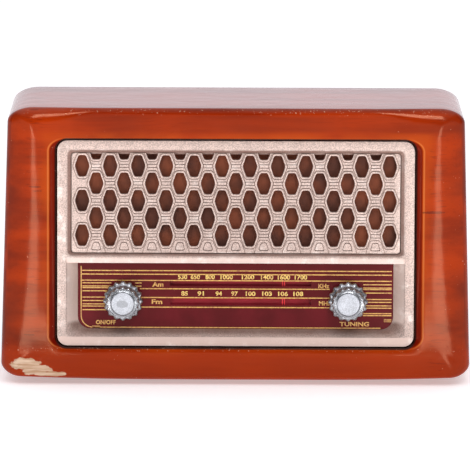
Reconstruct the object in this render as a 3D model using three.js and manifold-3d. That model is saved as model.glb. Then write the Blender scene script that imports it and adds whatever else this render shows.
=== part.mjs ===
// A tabletop AM/FM radio in a lacquered wooden cabinet, in millimetres.
// +Z is up, the front faces -Y, and the origin is under the middle of the bounding box at table height.
// The piece list follows the order of assembly: cabinet, front panel, loudspeaker, chassis with the
// tuning drive, electronics, rear cover with its connectors, feet, and the fasteners of each.
import * as THREE from "three";
import { mergeVertices } from "three/addons/utils/BufferGeometryUtils.js";
import Module from "manifold-3d";

const wasm = await Module();
wasm.setup();

// ---------------------------------------------------------------- driving dimensions
const GAP = 0.3; // clearance between pieces that seat on or run in each other

const BEZEL_WIDTH = 212; // moulded front panel, outside
const BEZEL_HEIGHT = 123;
const BEZEL_CORNER = 6;
const BEZEL_RIM = 5.2; // flat rim round the panel
const BEZEL_FLANGE = 4; // thickness of the rim
const BEZEL_BODY_DEPTH = 7.3; // front of the rim to the back of the moulding
const BEZEL_SINK = 2.5; // rim below the foremost wood
const BEZEL_REVEAL = 0.8; // shadow gap between rim and wood

const PILLAR_WIDTH = 34; // wood beside the bezel, at the foot of the cabinet
const TOP_BAR = 19.5; // wood above the bezel
const BOTTOM_BAR = 20.5; // wood below the bezel
const SIDE_LEAN = 4.5; // each side leans in by this much at the top
const CABINET_DEPTH = 110;
const WALL = 9; // sides, top and bottom
const FRONT_WALL = 14;
const FOOT_HEIGHT = 3;
const TOP_CORNER = { x: 16, z: 9 }; // elliptical corners seen from the front
const BOTTOM_CORNER = { x: 12, z: 10 };
const BOTTOM_SOFTENING = 2; // the underside rises by this much towards the ends
const BOTTOM_FLAT = 45; // half the width of the flat part of the underside
const SIDE_ROUND = { across: 23, deep: 9 }; // round-over of the pillars
const BAR_ROUND = { across: 5.5, deep: 5.5 }; // round-over of the top and bottom bars
const SIDE_LIP = 5.4; // rounded edge of the wood beside the bezel
const BAR_LIP = 1.8; // and above and below it
const LEDGE = 3.5; // step that the bezel's flange sits on
const BACK_EDGE = 1.5; // softened rear edge

const REAR_COVER = 3; // thickness
const REAR_RECESS = 3; // cover's face below the cabinet's rear edge
const REAR_REBATE = 4; // how far the cover laps onto the walls
const BATTEN = 12; // square strips that the cover is screwed to

const DIVIDER_BAR = 4.1; // bar between grille and dial
const DIVIDER_SINK = 1; // bar below the rim
const DIAL_HEIGHT = 40.4; // visible height of the dial
const DIAL_SIDE_SLOPE = 6.8; // sloping walls of the dial well
const DIAL_LOW_SLOPE = 4;
const DIAL_CORNER = 7.3;
const DIAL_PLATE = 1; // thickness of the printed plate
const DIAL_LAP = 4; // plate behind the edge of the window

const GRILLE_SLOPE = { side: 2.7, top: 2, low: 1.4 }; // sloping walls of the grille pocket
const GRILLE_SINK = 2; // grille's face below the rim
const GRILLE_PLATE = 3;
const GRILLE_CORNER = 2.2;
const GRILLE_LEDGE = { side: 2.2, top: 1.4, low: 3.6 }; // what the grille rests on
const GRILLE_MARGIN = { side: 6.4, top: 7.9 }; // plate's edge to the middle of the first hole, at the least
const HOLE = { half: 4.1, shoulder: 1.8, flat: 2.2, tall: 12.8 }; // elongated hexagonal hole
const GRILLE_LOW_MARGIN = 3; // least wall under the lowest holes
const HOLE_PITCH = 16.6;
const ROW_PITCH = 10.4;

const CLOTH = 0.6;
const BAFFLE = 5;
const SPEAKER_RADIUS = 36;
const CONE_RADIUS = 28;
const VOICE_COIL_RADIUS = 10;
const MAGNET_RADIUS = 22;

const KNOB_INSET = 39; // bezel's side to the middle of a knob
const SHAFT_HEIGHT = 26.5; // bezel's foot to the shafts
const SHAFT_RADIUS = 3;
const KNOB_RADIUS = 11.4; // toothed skirt
const KNOB_RING_RADIUS = 9.9; // toothed front ring
const KNOB_CAP_RADIUS = 6.7; // bright inlay
const KNOB_TEETH = 16;
const KNOB_LENGTH = 15;
const KNOB_LIFT = 1.8; // skirt in front of the dial
const TOOTH = 0.55; // half the height of a tooth

const CORD_RADIUS = 0.4;
const DRUM_CORD_RADIUS = 23.25; // half a turn is the pointer's travel
const SPINDLE_CORD_RADIUS = 3.5; // cord's radius on the tuning spindle
const IDLER_CORD_RADIUS = 4;
const CORD_PITCH = 1.4; // neighbouring turns of cord
const DRUM_OFFSET = 20; // drum's axis to the right of the middle
const DRUM_DROP = 11.5; // drum's axis below the shafts
const POINTER_REST = 28.6; // pointer to the right of the middle, at rest
const POINTER_LEFT = -33; // left end of its travel

const CHASSIS = 1.2; // sheet thickness
const FLANGE_DEPTH = 27; // chassis front flange behind the foremost wood
const CHASSIS_LENGTH = 66; // front to back

const SCREW_RADIUS = 1.5;
const SCREW_HEAD = 2.9;

// ---------------------------------------------------------------- derived places
const ROUND = 24; // segments of a full round
const CABINET_WIDTH = BEZEL_WIDTH + 2 * PILLAR_WIDTH;
const CABINET_HEIGHT = BOTTOM_BAR + BEZEL_HEIGHT + TOP_BAR;
const CABINET_LOW = FOOT_HEIGHT;
const CABINET_HIGH = CABINET_LOW + CABINET_HEIGHT;
const BEZEL_LOW = CABINET_LOW + BOTTOM_BAR;
const BEZEL_HIGH = BEZEL_LOW + BEZEL_HEIGHT;
const FLOOR = CABINET_LOW + WALL; // inside of the cabinet
const CEILING = CABINET_HIGH - WALL;

// depths are counted back from the foremost wood
const RIM_FRONT = BEZEL_SINK;
const BEZEL_SEAT = RIM_FRONT + BEZEL_FLANGE + GAP;
const BEZEL_BACK = RIM_FRONT + BEZEL_BODY_DEPTH;
const DIAL_FRONT = BEZEL_BACK + GAP;
const DIAL_BACK = DIAL_FRONT + DIAL_PLATE;
const GRILLE_FRONT = RIM_FRONT + GRILLE_SINK;
const GRILLE_BACK = GRILLE_FRONT + GRILLE_PLATE;
const BAFFLE_FRONT = FRONT_WALL + GAP;
const BAFFLE_BACK = BAFFLE_FRONT + BAFFLE;
const KNOB_BACK = DIAL_FRONT - KNOB_LIFT;
const KNOB_FRONT = KNOB_BACK - KNOB_LENGTH;
const COVER_BACK = CABINET_DEPTH - REAR_RECESS;
const COVER_FRONT = COVER_BACK - REAR_COVER;

const TOTAL_DEPTH = CABINET_DEPTH - KNOB_FRONT;
const FRONT_Y = -TOTAL_DEPTH / 2 - KNOB_FRONT;
const at = (depth) => FRONT_Y + depth;

const WELL_LOW = BEZEL_LOW + BEZEL_RIM;
const DIAL_LOW = WELL_LOW + DIAL_LOW_SLOPE;
const DIAL_HIGH = DIAL_LOW + DIAL_HEIGHT;
const BAR_HIGH = DIAL_HIGH + DIVIDER_BAR;
const WINDOW_HIGH = BEZEL_HIGH - BEZEL_RIM;
const WINDOW_HALF = BEZEL_WIDTH / 2 - BEZEL_RIM;
const DIAL_HALF = WINDOW_HALF - DIAL_SIDE_SLOPE;
const GRILLE_HALF = WINDOW_HALF - GRILLE_SLOPE.side;
const GRILLE_LOW = BAR_HIGH + GRILLE_SLOPE.low;
const GRILLE_HIGH = WINDOW_HIGH - GRILLE_SLOPE.top;

const KNOB_X = BEZEL_WIDTH / 2 - KNOB_INSET;
const SHAFT_Z = BEZEL_LOW + SHAFT_HEIGHT;
const SPEAKER_Z = (GRILLE_LOW + GRILLE_HIGH) / 2 + 1;
const RAIL_TOP = DIAL_HIGH - 3; // top edge of the dial backing, which carries the pointer
const CORD_RUN = RAIL_TOP - 3; // height of the cord's upper run
const NEEDLE_FRONT = DIAL_BACK + 1.2;
const BACKING_FRONT = FRONT_WALL + GAP;
const BACKING_BACK = BACKING_FRONT + 1;
const CORD_DEPTH = BACKING_BACK + 2.9;
const CHASSIS_FLOOR = FLOOR + GAP + CHASSIS; // upper face of the chassis tray
const CHASSIS_SPAN = [-80, 86];

// ---------------------------------------------------------------- solids
// A closed geometry as a manifold solid, ready to be joined or cut.
function solid(geometry) {
  const bare = geometry.index ? geometry.toNonIndexed() : geometry.clone();
  const positions = new THREE.BufferGeometry().setAttribute("position", bare.getAttribute("position"));
  const merged = mergeVertices(positions, 1e-3);
  const vertProperties = merged.attributes.position.array;
  const triVerts = new Uint32Array(merged.index.array);
  return new wasm.Manifold(new wasm.Mesh({ numProp: 3, vertProperties, triVerts }));
}

function geometryOf(body) {
  const mesh = body.getMesh();
  const positions = new THREE.BufferAttribute(new Float32Array(mesh.vertProperties), 3);
  const geometry = new THREE.BufferGeometry().setAttribute("position", positions);
  return geometry.setIndex(new THREE.BufferAttribute(new Uint32Array(mesh.triVerts), 1));
}

const joined = (...geometries) => geometryOf(geometries.map(solid).reduce((a, b) => a.add(b)));
const cut = (geometry, ...tools) =>
  geometryOf(tools.map(solid).reduce((a, b) => a.subtract(b), solid(geometry)));

// A block from its two corners.
function block(x0, x1, y0, y1, z0, z1) {
  const box = new THREE.BoxGeometry(x1 - x0, y1 - y0, z1 - z0);
  return box.translate((x0 + x1) / 2, (y0 + y1) / 2, (z0 + z1) / 2);
}

// A flat piece parallel to the front: a shape in x and z, between two depths.
function panel(shape, front, back, curveSegments = 3) {
  const settings = { depth: back - front, bevelEnabled: false, curveSegments };
  return new THREE.ExtrudeGeometry(shape, settings).rotateX(Math.PI / 2).translate(0, at(back), 0);
}

// Round pieces along Y, from depth to depth, about (x, z).
function rod(radius, front, back, x, z, segments = ROUND) {
  const cylinder = new THREE.CylinderGeometry(radius, radius, back - front, segments);
  return cylinder.translate(x, at((front + back) / 2), z);
}

// A turned piece along Y: a closed profile of [radius, depth] points.
function turned(profile, x, z, segments = ROUND) {
  const points = profile.map(([radius, depth]) => new THREE.Vector2(radius, at(depth)));
  return outward(new THREE.LatheGeometry([...points, points[0]], segments).translate(x, 0, z));
}

// A profile may run either way round; this turns the faces outwards.
function outward(geometry) {
  const body = solid(geometry);
  if (body.volume() > 0) return geometryOf(body);
  const flat = geometry.toNonIndexed();
  const p = flat.attributes.position.array;
  for (let i = 0; i < p.length; i += 9)
    for (let k = 0; k < 3; k++) [p[i + 3 + k], p[i + 6 + k]] = [p[i + 6 + k], p[i + 3 + k]];
  return geometryOf(solid(flat));
}

// A rod along Z between two heights.
function post(radius, low, high, x, y, segments = ROUND) {
  const cylinder = new THREE.CylinderGeometry(radius, radius, high - low, segments).rotateX(Math.PI / 2);
  return cylinder.translate(x, y, (low + high) / 2);
}

// A rod along X.
function bar(radius, x0, x1, depth, z, segments = 16) {
  const cylinder = new THREE.CylinderGeometry(radius, radius, x1 - x0, segments).rotateZ(Math.PI / 2);
  return cylinder.translate((x0 + x1) / 2, at(depth), z);
}

function polygon(points) {
  return new THREE.Shape(points.map(([x, z]) => new THREE.Vector2(x, z)));
}

function roundedRect(x0, x1, z0, z1, low, high = low) {
  const shape = new THREE.Shape();
  shape.moveTo(x0 + low, z0);
  shape.lineTo(x1 - low, z0);
  if (low) shape.absarc(x1 - low, z0 + low, low, -Math.PI / 2, 0);
  shape.lineTo(x1, z1 - high);
  if (high) shape.absarc(x1 - high, z1 - high, high, 0, Math.PI / 2);
  shape.lineTo(x0 + high, z1);
  if (high) shape.absarc(x0 + high, z1 - high, high, Math.PI / 2, Math.PI);
  shape.lineTo(x0, z0 + low);
  if (low) shape.absarc(x0 + low, z0 + low, low, Math.PI, 1.5 * Math.PI);
  return shape;
}

// Rings of equally many [x, y, z] points, skinned in order. An open loft gets flat ends at each
// end's middle; a closed one joins its last ring to its first.
function loft(rings, closed) {
  const count = rings[0].length;
  const points = rings.flat(2);
  const faces = [];
  const spans = closed ? rings.length : rings.length - 1;
  for (let r = 0; r < spans; r++)
    for (let i = 0; i < count; i++) {
      const a = r * count + i;
      const b = r * count + ((i + 1) % count);
      const c = ((r + 1) % rings.length) * count + i;
      const d = ((r + 1) % rings.length) * count + ((i + 1) % count);
      faces.push(a, b, d, a, d, c);
    }
  if (!closed)
    for (const [ring, flip] of [[0, true], [rings.length - 1, false]]) {
      const middle = [0, 1, 2].map((k) => rings[ring].reduce((sum, p) => sum + p[k], 0) / count);
      const centre = points.length / 3;
      points.push(...middle);
      for (let i = 0; i < count; i++) {
        const a = ring * count + i;
        const b = ring * count + ((i + 1) % count);
        faces.push(...(flip ? [centre, b, a] : [centre, a, b]));
      }
    }
  const geometry = new THREE.BufferGeometry();
  geometry.setAttribute("position", new THREE.Float32BufferAttribute(points, 3));
  return outward(geometry.setIndex(faces));
}

// A shape's corners in order, each of them once.
function cornersOf(shape, curveSegments) {
  const all = shape.getPoints(curveSegments);
  return all.filter((p, i) => p.distanceTo(all[(i + 1) % all.length]) > 1e-6);
}

// A straight-sided hollow between two outlines of the same corner count.
function tapered(nearShape, farShape, front, back, curveSegments = 3) {
  const ring = (shape, depth) => cornersOf(shape, curveSegments).map((p) => [p.x, at(depth), p.y]);
  return loft([ring(nearShape, front), ring(farShape, back)], false);
}

// A curve through fixed stations, so that a sweep has exactly one section at each.
class StationCurve extends THREE.Curve {
  constructor(stations) {
    super();
    this.stations = stations.map((p) => new THREE.Vector3(...p));
  }
  getPoint(t) {
    const place = t * (this.stations.length - 1);
    const i = Math.min(Math.floor(place), this.stations.length - 2);
    return this.stations[i].clone().lerp(this.stations[i + 1], place - i);
  }
  getPointAt(u) {
    return this.getPoint(u);
  }
  getTangent(t) {
    const i = Math.round(t * (this.stations.length - 1));
    const before = this.stations[Math.max(i - 1, 0)];
    const after = this.stations[Math.min(i + 1, this.stations.length - 1)];
    return after.clone().sub(before).normalize();
  }
  getTangentAt(u) {
    return this.getTangent(u);
  }
}

const disc = (radius) => new THREE.Shape().absarc(0, 0, radius, 0, 2 * Math.PI);

function wire(stations, radius, sides = 3) {
  const extrudePath = new StationCurve(stations);
  const settings = { steps: stations.length - 1, curveSegments: sides, extrudePath };
  return outward(new THREE.ExtrudeGeometry(disc(radius), { ...settings, bevelEnabled: false }));
}

function softWire(points, radius, steps) {
  const curve = new THREE.CatmullRomCurve3(points.map((p) => new THREE.Vector3(...p)), false, "centripetal");
  const settings = { steps, curveSegments: 4, extrudePath: curve, bevelEnabled: false };
  return outward(new THREE.ExtrudeGeometry(disc(radius), settings));
}

// ---------------------------------------------------------------- materials
const finish = (color, roughness, metalness = 0) =>
  new THREE.MeshStandardMaterial({ color, roughness, metalness });
const lacqueredWood = finish(0xa63a18, 0.12);
const rawWood = finish(0xc79a66, 0.8);
const hardboard = finish(0x5a3a26, 0.85);
const champagne = finish(0xe0c8ba, 0.45, 0.5);
const dialPrint = finish(0x561a1e, 0.2);
const cloth = finish(0x5a2418, 0.95);
const needleRed = finish(0xd01818, 0.4);
const silver = finish(0xb9bcc0, 0.3, 0.9);
const brightSilver = finish(0xe6e9ee, 0.35, 0.6);
const steel = finish(0x9a9da0, 0.4, 0.9);
const blackPlastic = finish(0x1c1c1e, 0.5);
const creamPlastic = finish(0xd8cdb4, 0.5);
const paper = finish(0x2a2825, 0.9);
const ferrite = finish(0x34302e, 0.7);
const board = finish(0x8a5a26, 0.6);
const copper = finish(0xb4652c, 0.35, 0.8);
const brass = finish(0xc9a24a, 0.3, 0.9);
const rubber = finish(0x202022, 0.9);
const cordThread = finish(0xd9d0b8, 0.9);

const radio = new THREE.Group();
function add(name, geometry, material) {
  const mesh = new THREE.Mesh(geometry, material);
  mesh.name = name;
  radio.add(mesh);
}

// ---------------------------------------------------------------- cabinet
// An outline seen from the front, anticlockwise from the lower right corner. Each point also says
// how far it belongs to the sides (1) and not to the top or bottom (0).
const CORNER_STEPS = 6;
const EDGE_STEPS = { right: 2, top: 2, left: 2, bottom: 8 };
function outline(half, low, high, topCorner, bottomCorner) {
  const corners = [
    { x: half - bottomCorner.x, z: low + bottomCorner.z, r: bottomCorner, from: -90, side: (t) => t },
    { x: half - topCorner.x, z: high - topCorner.z, r: topCorner, from: 0, side: (t) => 1 - t },
    { x: topCorner.x - half, z: high - topCorner.z, r: topCorner, from: 90, side: (t) => t },
    { x: bottomCorner.x - half, z: low + bottomCorner.z, r: bottomCorner, from: 180, side: (t) => 1 - t },
  ];
  const edges = [EDGE_STEPS.right, EDGE_STEPS.top, EDGE_STEPS.left, EDGE_STEPS.bottom];
  const arcPoint = (c, t) => {
    const angle = THREE.MathUtils.degToRad(c.from + 90 * t);
    const side = THREE.MathUtils.smoothstep(c.side(t), 0, 1);
    return { x: c.x + c.r.x * Math.cos(angle), z: c.z + c.r.z * Math.sin(angle), side };
  };
  const points = [];
  corners.forEach((corner, n) => {
    for (let i = 0; i <= CORNER_STEPS; i++) points.push(arcPoint(corner, i / CORNER_STEPS));
    const start = arcPoint(corner, 1);
    const end = arcPoint(corners[(n + 1) % 4], 0);
    for (let i = 1; i < edges[n]; i++) {
      const t = i / edges[n];
      const [x, z] = [start.x + (end.x - start.x) * t, start.z + (end.z - start.z) * t];
      points.push({ x, z, side: start.side });
    }
  });
  return points;
}

// The sides lean in towards the top, and the underside rises a little towards its ends.
const leanAt = (z) => 1 - (SIDE_LEAN / (CABINET_WIDTH / 2)) * ((z - CABINET_LOW) / CABINET_HEIGHT);
function shaped(inset, corner = 1) {
  const half = CABINET_WIDTH / 2 - inset;
  const round = (c) => ({ x: Math.max(c.x - inset, 2) * corner, z: Math.max(c.z - inset, 2) * corner });
  const [low, high] = [CABINET_LOW + inset, CABINET_HIGH - inset];
  const ring = outline(half, low, high, round(TOP_CORNER), round(BOTTOM_CORNER));
  return ring.map(({ x, z, side }) => {
    const out = Math.max(Math.abs(x) - BOTTOM_FLAT, 0) / (half - BOTTOM_FLAT);
    const near = Math.max(0, 1 - (z - CABINET_LOW - inset) / BOTTOM_CORNER.z);
    const rise = inset < WALL - REAR_REBATE ? BOTTOM_SOFTENING * out * out * near : 0;
    return { x: x * leanAt(z), z: z + rise, side };
  });
}

const mix = (a, b, t) => a + (b - a) * t;
const ringAt = (points, depth) => points.map(({ x, z }) => [x, at(depth), z]);
const cavityHalf = (z) => (CABINET_WIDTH / 2 - WALL) * leanAt(z);

function cabinetShell() {
  const outer = shaped(0);
  const opening = (grow) => {
    const corner = { x: BEZEL_CORNER + grow.x, z: BEZEL_CORNER + grow.z };
    return outline(BEZEL_WIDTH / 2 + grow.x, BEZEL_LOW - grow.z, BEZEL_HIGH + grow.z, corner, corner);
  };
  const crest = opening({ x: SIDE_LIP, z: BAR_LIP });
  const mouth = opening({ x: BEZEL_REVEAL, z: BEZEL_REVEAL });
  const throat = opening({ x: -LEDGE, z: -LEDGE });
  const cavity = shaped(WALL);
  const rebate = shaped(WALL - REAR_REBATE);
  const rings = [ringAt(shaped(BACK_EDGE), CABINET_DEPTH), ringAt(outer, CABINET_DEPTH - BACK_EDGE)];
  const roundSteps = 5;
  for (let step = 0; step <= roundSteps; step++) {
    const turn = (Math.PI / 2) * (step / roundSteps);
    rings.push(
      outer.map((o, i) => {
        const c = crest[i];
        const run = Math.hypot(c.x - o.x, c.z - o.z);
        const across = Math.min(mix(BAR_ROUND.across, SIDE_ROUND.across, o.side), run - 1);
        const deep = mix(BAR_ROUND.deep, SIDE_ROUND.deep, o.side);
        const share = (across * (1 - Math.cos(turn))) / run;
        return [mix(o.x, c.x, share), at(deep * (1 - Math.sin(turn))), mix(o.z, c.z, share)];
      }),
    );
  }
  rings.push(ringAt(crest, 0));
  const lipSteps = 3;
  for (let step = 1; step <= lipSteps; step++) {
    const turn = (Math.PI / 2) * (step / lipSteps);
    const depth = BEZEL_SINK * (1 - Math.cos(turn));
    rings.push(crest.map((c, i) => {
      const m = mouth[i];
      return [mix(c.x, m.x, Math.sin(turn)), at(depth), mix(c.z, m.z, Math.sin(turn))];
    }));
  }
  rings.push(
    ringAt(mouth, BEZEL_SEAT),
    ringAt(throat, BEZEL_SEAT),
    ringAt(throat, FRONT_WALL),
    ringAt(cavity, FRONT_WALL),
    ringAt(cavity, COVER_FRONT - GAP),
    ringAt(rebate, COVER_FRONT - GAP),
    ringAt(rebate, CABINET_DEPTH),
  );
  const holes = chassisScrewPlaces().map(([x, y]) => post(SCREW_RADIUS + GAP, 0, FLOOR + 1, x, y, 12));
  const sinks = chassisScrewPlaces().map(([x, y]) =>
    post(SCREW_HEAD + GAP, 0, CABINET_LOW + BOTTOM_SOFTENING + 2, x, y, 12));
  return cut(loft(rings, true), ...holes, ...sinks);
}

const chassisScrewPlaces = () => [[-70, at(36)], [76, at(36)], [-70, at(88)], [76, at(88)]];
const coverScrewPlaces = () => [42, 128].flatMap((z) => [-1, 1].map((s) => [s * (cavityHalf(z) - 6.5), z]));

// One of the two strips that the rear cover is screwed to; it follows the leaning side.
function batten(side) {
  const [low, high] = [FLOOR + 14, CEILING - 14];
  const edge = (z, inset) => [side * (cavityHalf(z) - inset), z];
  const corners = [edge(low, GAP + BATTEN), edge(low, GAP), edge(high, GAP), edge(high, GAP + BATTEN)];
  const section = polygon(side > 0 ? corners : corners.reverse());
  const strip = panel(section, COVER_FRONT - GAP - BATTEN, COVER_FRONT - GAP);
  const own = coverScrewPlaces().filter(([x]) => Math.sign(x) === side);
  return cut(strip, ...own.map(([x, z]) => rod(SCREW_RADIUS + GAP, 0, CABINET_DEPTH, x, z, 12)));
}

add("cabinet_shell", cabinetShell(), lacqueredWood);
add("batten_left", batten(-1), rawWood);
add("batten_right", batten(1), rawWood);

// ---------------------------------------------------------------- front panel
function frontBezel() {
  const half = BEZEL_WIDTH / 2;
  const body = half - LEDGE - GAP;
  const [bodyLow, bodyHigh] = [BEZEL_LOW + LEDGE + GAP, BEZEL_HIGH - LEDGE - GAP];
  const rim = roundedRect(-half, half, BEZEL_LOW, BEZEL_HIGH, BEZEL_CORNER);
  const flange = panel(rim, RIM_FRONT, RIM_FRONT + BEZEL_FLANGE);
  const moulding = panel(roundedRect(-body, body, bodyLow, bodyHigh, 2), RIM_FRONT + 1, BEZEL_BACK);
  const early = RIM_FRONT - 0.01;
  const mouth = roundedRect(-WINDOW_HALF, WINDOW_HALF, BAR_HIGH, WINDOW_HIGH, 3);
  const seat = roundedRect(-GRILLE_HALF, GRILLE_HALF, GRILLE_LOW, GRILLE_HIGH, GRILLE_CORNER);
  const ledge = GRILLE_LEDGE;
  const open = GRILLE_HALF - ledge.side;
  const clear = roundedRect(-open, open, GRILLE_LOW + ledge.low, GRILLE_HIGH - ledge.top, GRILLE_CORNER);
  const well = roundedRect(-WINDOW_HALF, WINDOW_HALF, WELL_LOW, DIAL_HIGH, 3.5, 0);
  const window = roundedRect(-DIAL_HALF, DIAL_HALF, DIAL_LOW, DIAL_HIGH, DIAL_CORNER, 0);
  return cut(
    joined(flange, moulding),
    tapered(mouth, seat, early, GRILLE_FRONT),
    panel(seat, GRILLE_FRONT - 0.01, GRILLE_BACK + GAP),
    panel(clear, GRILLE_BACK, BEZEL_BACK + 1),
    tapered(well, window, early, BEZEL_BACK + 0.01),
    block(-WINDOW_HALF, WINDOW_HALF, at(0), at(RIM_FRONT + DIVIDER_SINK), DIAL_HIGH - 0.01, BAR_HIGH + 0.01),
  );
}

// Middles of the grille's holes, row by row from the top; the even rows hold one hole fewer.
function grilleHoles() {
  const half = GRILLE_HALF - GAP - GRILLE_MARGIN.side;
  const top = GRILLE_HIGH - GAP - GRILLE_MARGIN.top;
  const inRow = Math.floor((2 * half) / HOLE_PITCH) + 1;
  const rows = Math.floor((top - GRILLE_LOW - GAP - HOLE.tall / 2 - GRILLE_LOW_MARGIN) / ROW_PITCH) + 1;
  const places = [];
  for (let row = 0; row < rows; row++) {
    const count = inRow - (row % 2);
    for (let i = 0; i < count; i++) places.push([(i - (count - 1) / 2) * HOLE_PITCH, top - row * ROW_PITCH]);
  }
  return places;
}

function holeOutline(x, z) {
  const { half, shoulder, flat, tall } = HOLE;
  const corners = [
    [half, -shoulder / 2], [half, shoulder / 2], [flat, tall / 2], [-flat, tall / 2],
    [-half, shoulder / 2], [-half, -shoulder / 2], [-flat, -tall / 2], [flat, -tall / 2],
  ];
  return corners.map(([dx, dz]) => new THREE.Vector2(x + dx, z + dz));
}

function speakerGrille() {
  const half = GRILLE_HALF - GAP;
  const plate = roundedRect(-half, half, GRILLE_LOW + GAP, GRILLE_HIGH - GAP, GRILLE_CORNER - GAP);
  plate.holes = grilleHoles().map(([x, z]) => new THREE.Path(holeOutline(x, z)));
  return panel(plate, GRILLE_FRONT, GRILLE_BACK, 3);
}

// The printed dial: two window strips show the needle, and the shafts pass through two holes.
const WINDOW_STRIPS = [
  [DIAL_HIGH - 14.7, DIAL_HIGH - 11],
  [DIAL_HIGH - 26, DIAL_HIGH - 21.3],
];
function dialScale() {
  const half = DIAL_HALF + DIAL_LAP;
  const plate = roundedRect(-half, half, DIAL_LOW - DIAL_LAP, DIAL_HIGH + DIAL_LAP - 0.5, 2);
  const strip = ([low, high]) => block(POINTER_LEFT - 6, POINTER_RIGHT + 5, at(0), at(20), low, high);
  const shaft = (side) => rod(SHAFT_RADIUS + 1.5, 0, 20, side * KNOB_X, SHAFT_Z, 20);
  return cut(panel(plate, DIAL_FRONT, DIAL_BACK), ...WINDOW_STRIPS.map(strip), shaft(-1), shaft(1));
}

const LAMP_X = KNOB_X + 15;
const LAMP_Z = SHAFT_Z + 12;
const BULB_RADIUS = 1.9;
function dialBacking() {
  const plate = block(-108, 108, at(BACKING_FRONT), at(BACKING_BACK), BEZEL_LOW - 2, RAIL_TOP);
  const through = (radius, x, z) => rod(radius, 0, 30, x, z, 20);
  const holes = [-1, 1].flatMap((s) => [
    through(SHAFT_RADIUS + 2, s * KNOB_X, SHAFT_Z),
    through(BULB_RADIUS + GAP, s * LAMP_X, LAMP_Z),
  ]);
  return cut(plate, ...holes);
}

const SPEAKER_SCREW_RING = 33;
const speakerScrewPlaces = () => [45, 135, 225, 315].map((angle) => {
  const a = THREE.MathUtils.degToRad(angle);
  return [SPEAKER_SCREW_RING * Math.cos(a), SPEAKER_Z + SPEAKER_SCREW_RING * Math.sin(a)];
});
function speakerBaffle() {
  const plate = block(-110, 110, at(BAFFLE_FRONT), at(BAFFLE_BACK), RAIL_TOP + 3.2, BEZEL_HIGH + 5);
  const pilot = ([x, z]) => rod(SCREW_RADIUS + GAP, BAFFLE_FRONT - 1, BAFFLE_BACK + 1, x, z, 12);
  const pilots = speakerScrewPlaces().map(pilot);
  return cut(plate, rod(CONE_RADIUS + 0.8, 0, 40, 0, SPEAKER_Z), ...pilots);
}

function clothPanel() {
  const half = GRILLE_HALF - 1;
  const front = BEZEL_BACK + GAP;
  return block(-half, half, at(front), at(front + CLOTH), GRILLE_LOW + 2, GRILLE_HIGH + 1);
}

const CORD_DRUM_CENTRE = { x: DRUM_OFFSET, z: SHAFT_Z - DRUM_DROP };
const POINTER_RIGHT = POINTER_LEFT + Math.PI * DRUM_CORD_RADIUS;

add("front_bezel", frontBezel(), champagne);
add("speaker_grille", speakerGrille(), champagne);
add("speaker_cloth", clothPanel(), cloth);
add("dial_scale", dialScale(), dialPrint);
add("dial_backing", dialBacking(), dialPrint);
add("speaker_baffle", speakerBaffle(), rawWood);

// ---------------------------------------------------------------- loudspeaker
const BASKET_FRONT = BAFFLE_BACK + GAP;
const MAGNET_FRONT = BASKET_FRONT + 21.7;
function speakerBasket() {
  const inner = CONE_RADIUS + GAP;
  const f = BASKET_FRONT;
  const profile = [
    [SPEAKER_RADIUS, f], [SPEAKER_RADIUS, f + 1.6], [inner + 1.5, f + 1.6], [inner + 1.2, f + 4],
    [17, f + 19.4], [17, f + 21.4], [VOICE_COIL_RADIUS + 2, f + 21.4], [VOICE_COIL_RADIUS + 2, f + 20.2],
    [15.4, f + 20.2], [15.4, f + 19], [inner, f + 3], [inner, f],
  ];
  const screws = speakerScrewPlaces().map(([x, z]) => rod(SCREW_RADIUS + GAP, f - 1, f + 3, x, z, 12));
  const vents = [0, 90, 180, 270].map((turn) => {
    const slot = new THREE.BoxGeometry(14, 14, 9).translate(24, 0, 0);
    return slot.rotateY(THREE.MathUtils.degToRad(turn)).translate(0, at(f + 11.5), SPEAKER_Z);
  });
  return cut(turned(profile, 0, SPEAKER_Z), ...screws, ...vents);
}

function speakerCone() {
  const [f, r, coil] = [BASKET_FRONT + 0.8, CONE_RADIUS, VOICE_COIL_RADIUS];
  const profile = [
    [0, f + 6.8], [5, f + 7.8], [coil - 0.4, f + 10.8], [r - 1.2, f], [r, f], [r, f + 0.8], [r - 0.8, f + 1],
    [coil + 0.4, f + 12.2], [coil + 0.2, f + 23.6], [coil - 0.4, f + 23.6], [coil - 0.4, f + 12],
    [5, f + 8.8], [0, f + 7.8],
  ];
  const points = profile.map(([radius, depth]) => new THREE.Vector2(radius, at(depth)));
  return outward(new THREE.LatheGeometry(points, ROUND).translate(0, 0, SPEAKER_Z));
}

function speakerMagnet() {
  const [f, coil] = [MAGNET_FRONT, VOICE_COIL_RADIUS];
  const profile = [
    [0, f - 3], [coil - 0.8, f - 3], [coil - 0.8, f + 8], [coil + 0.7, f + 8], [coil + 0.7, f],
    [MAGNET_RADIUS, f], [MAGNET_RADIUS, f + 12.7], [0, f + 12.7],
  ];
  const points = profile.map(([radius, depth]) => new THREE.Vector2(radius, at(depth)));
  return outward(new THREE.LatheGeometry(points, ROUND).translate(0, 0, SPEAKER_Z));
}

// A round-headed screw along Y, its head at the back.
function rearScrew(x, z, underHead, reach, head = SCREW_HEAD) {
  return joined(
    rod(SCREW_RADIUS, underHead - reach, underHead + 0.5, x, z, 12),
    rod(head, underHead, underHead + 1.6, x, z, 12),
  );
}

add("speaker_basket", speakerBasket(), steel);
add("speaker_cone", speakerCone(), paper);
add("speaker_magnet", speakerMagnet(), ferrite);
speakerScrewPlaces().forEach(([x, z], i) =>
  add(`speaker_screw_${i + 1}`, rearScrew(x, z, BASKET_FRONT + 1.9, 6, 2.6), steel));

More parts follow.
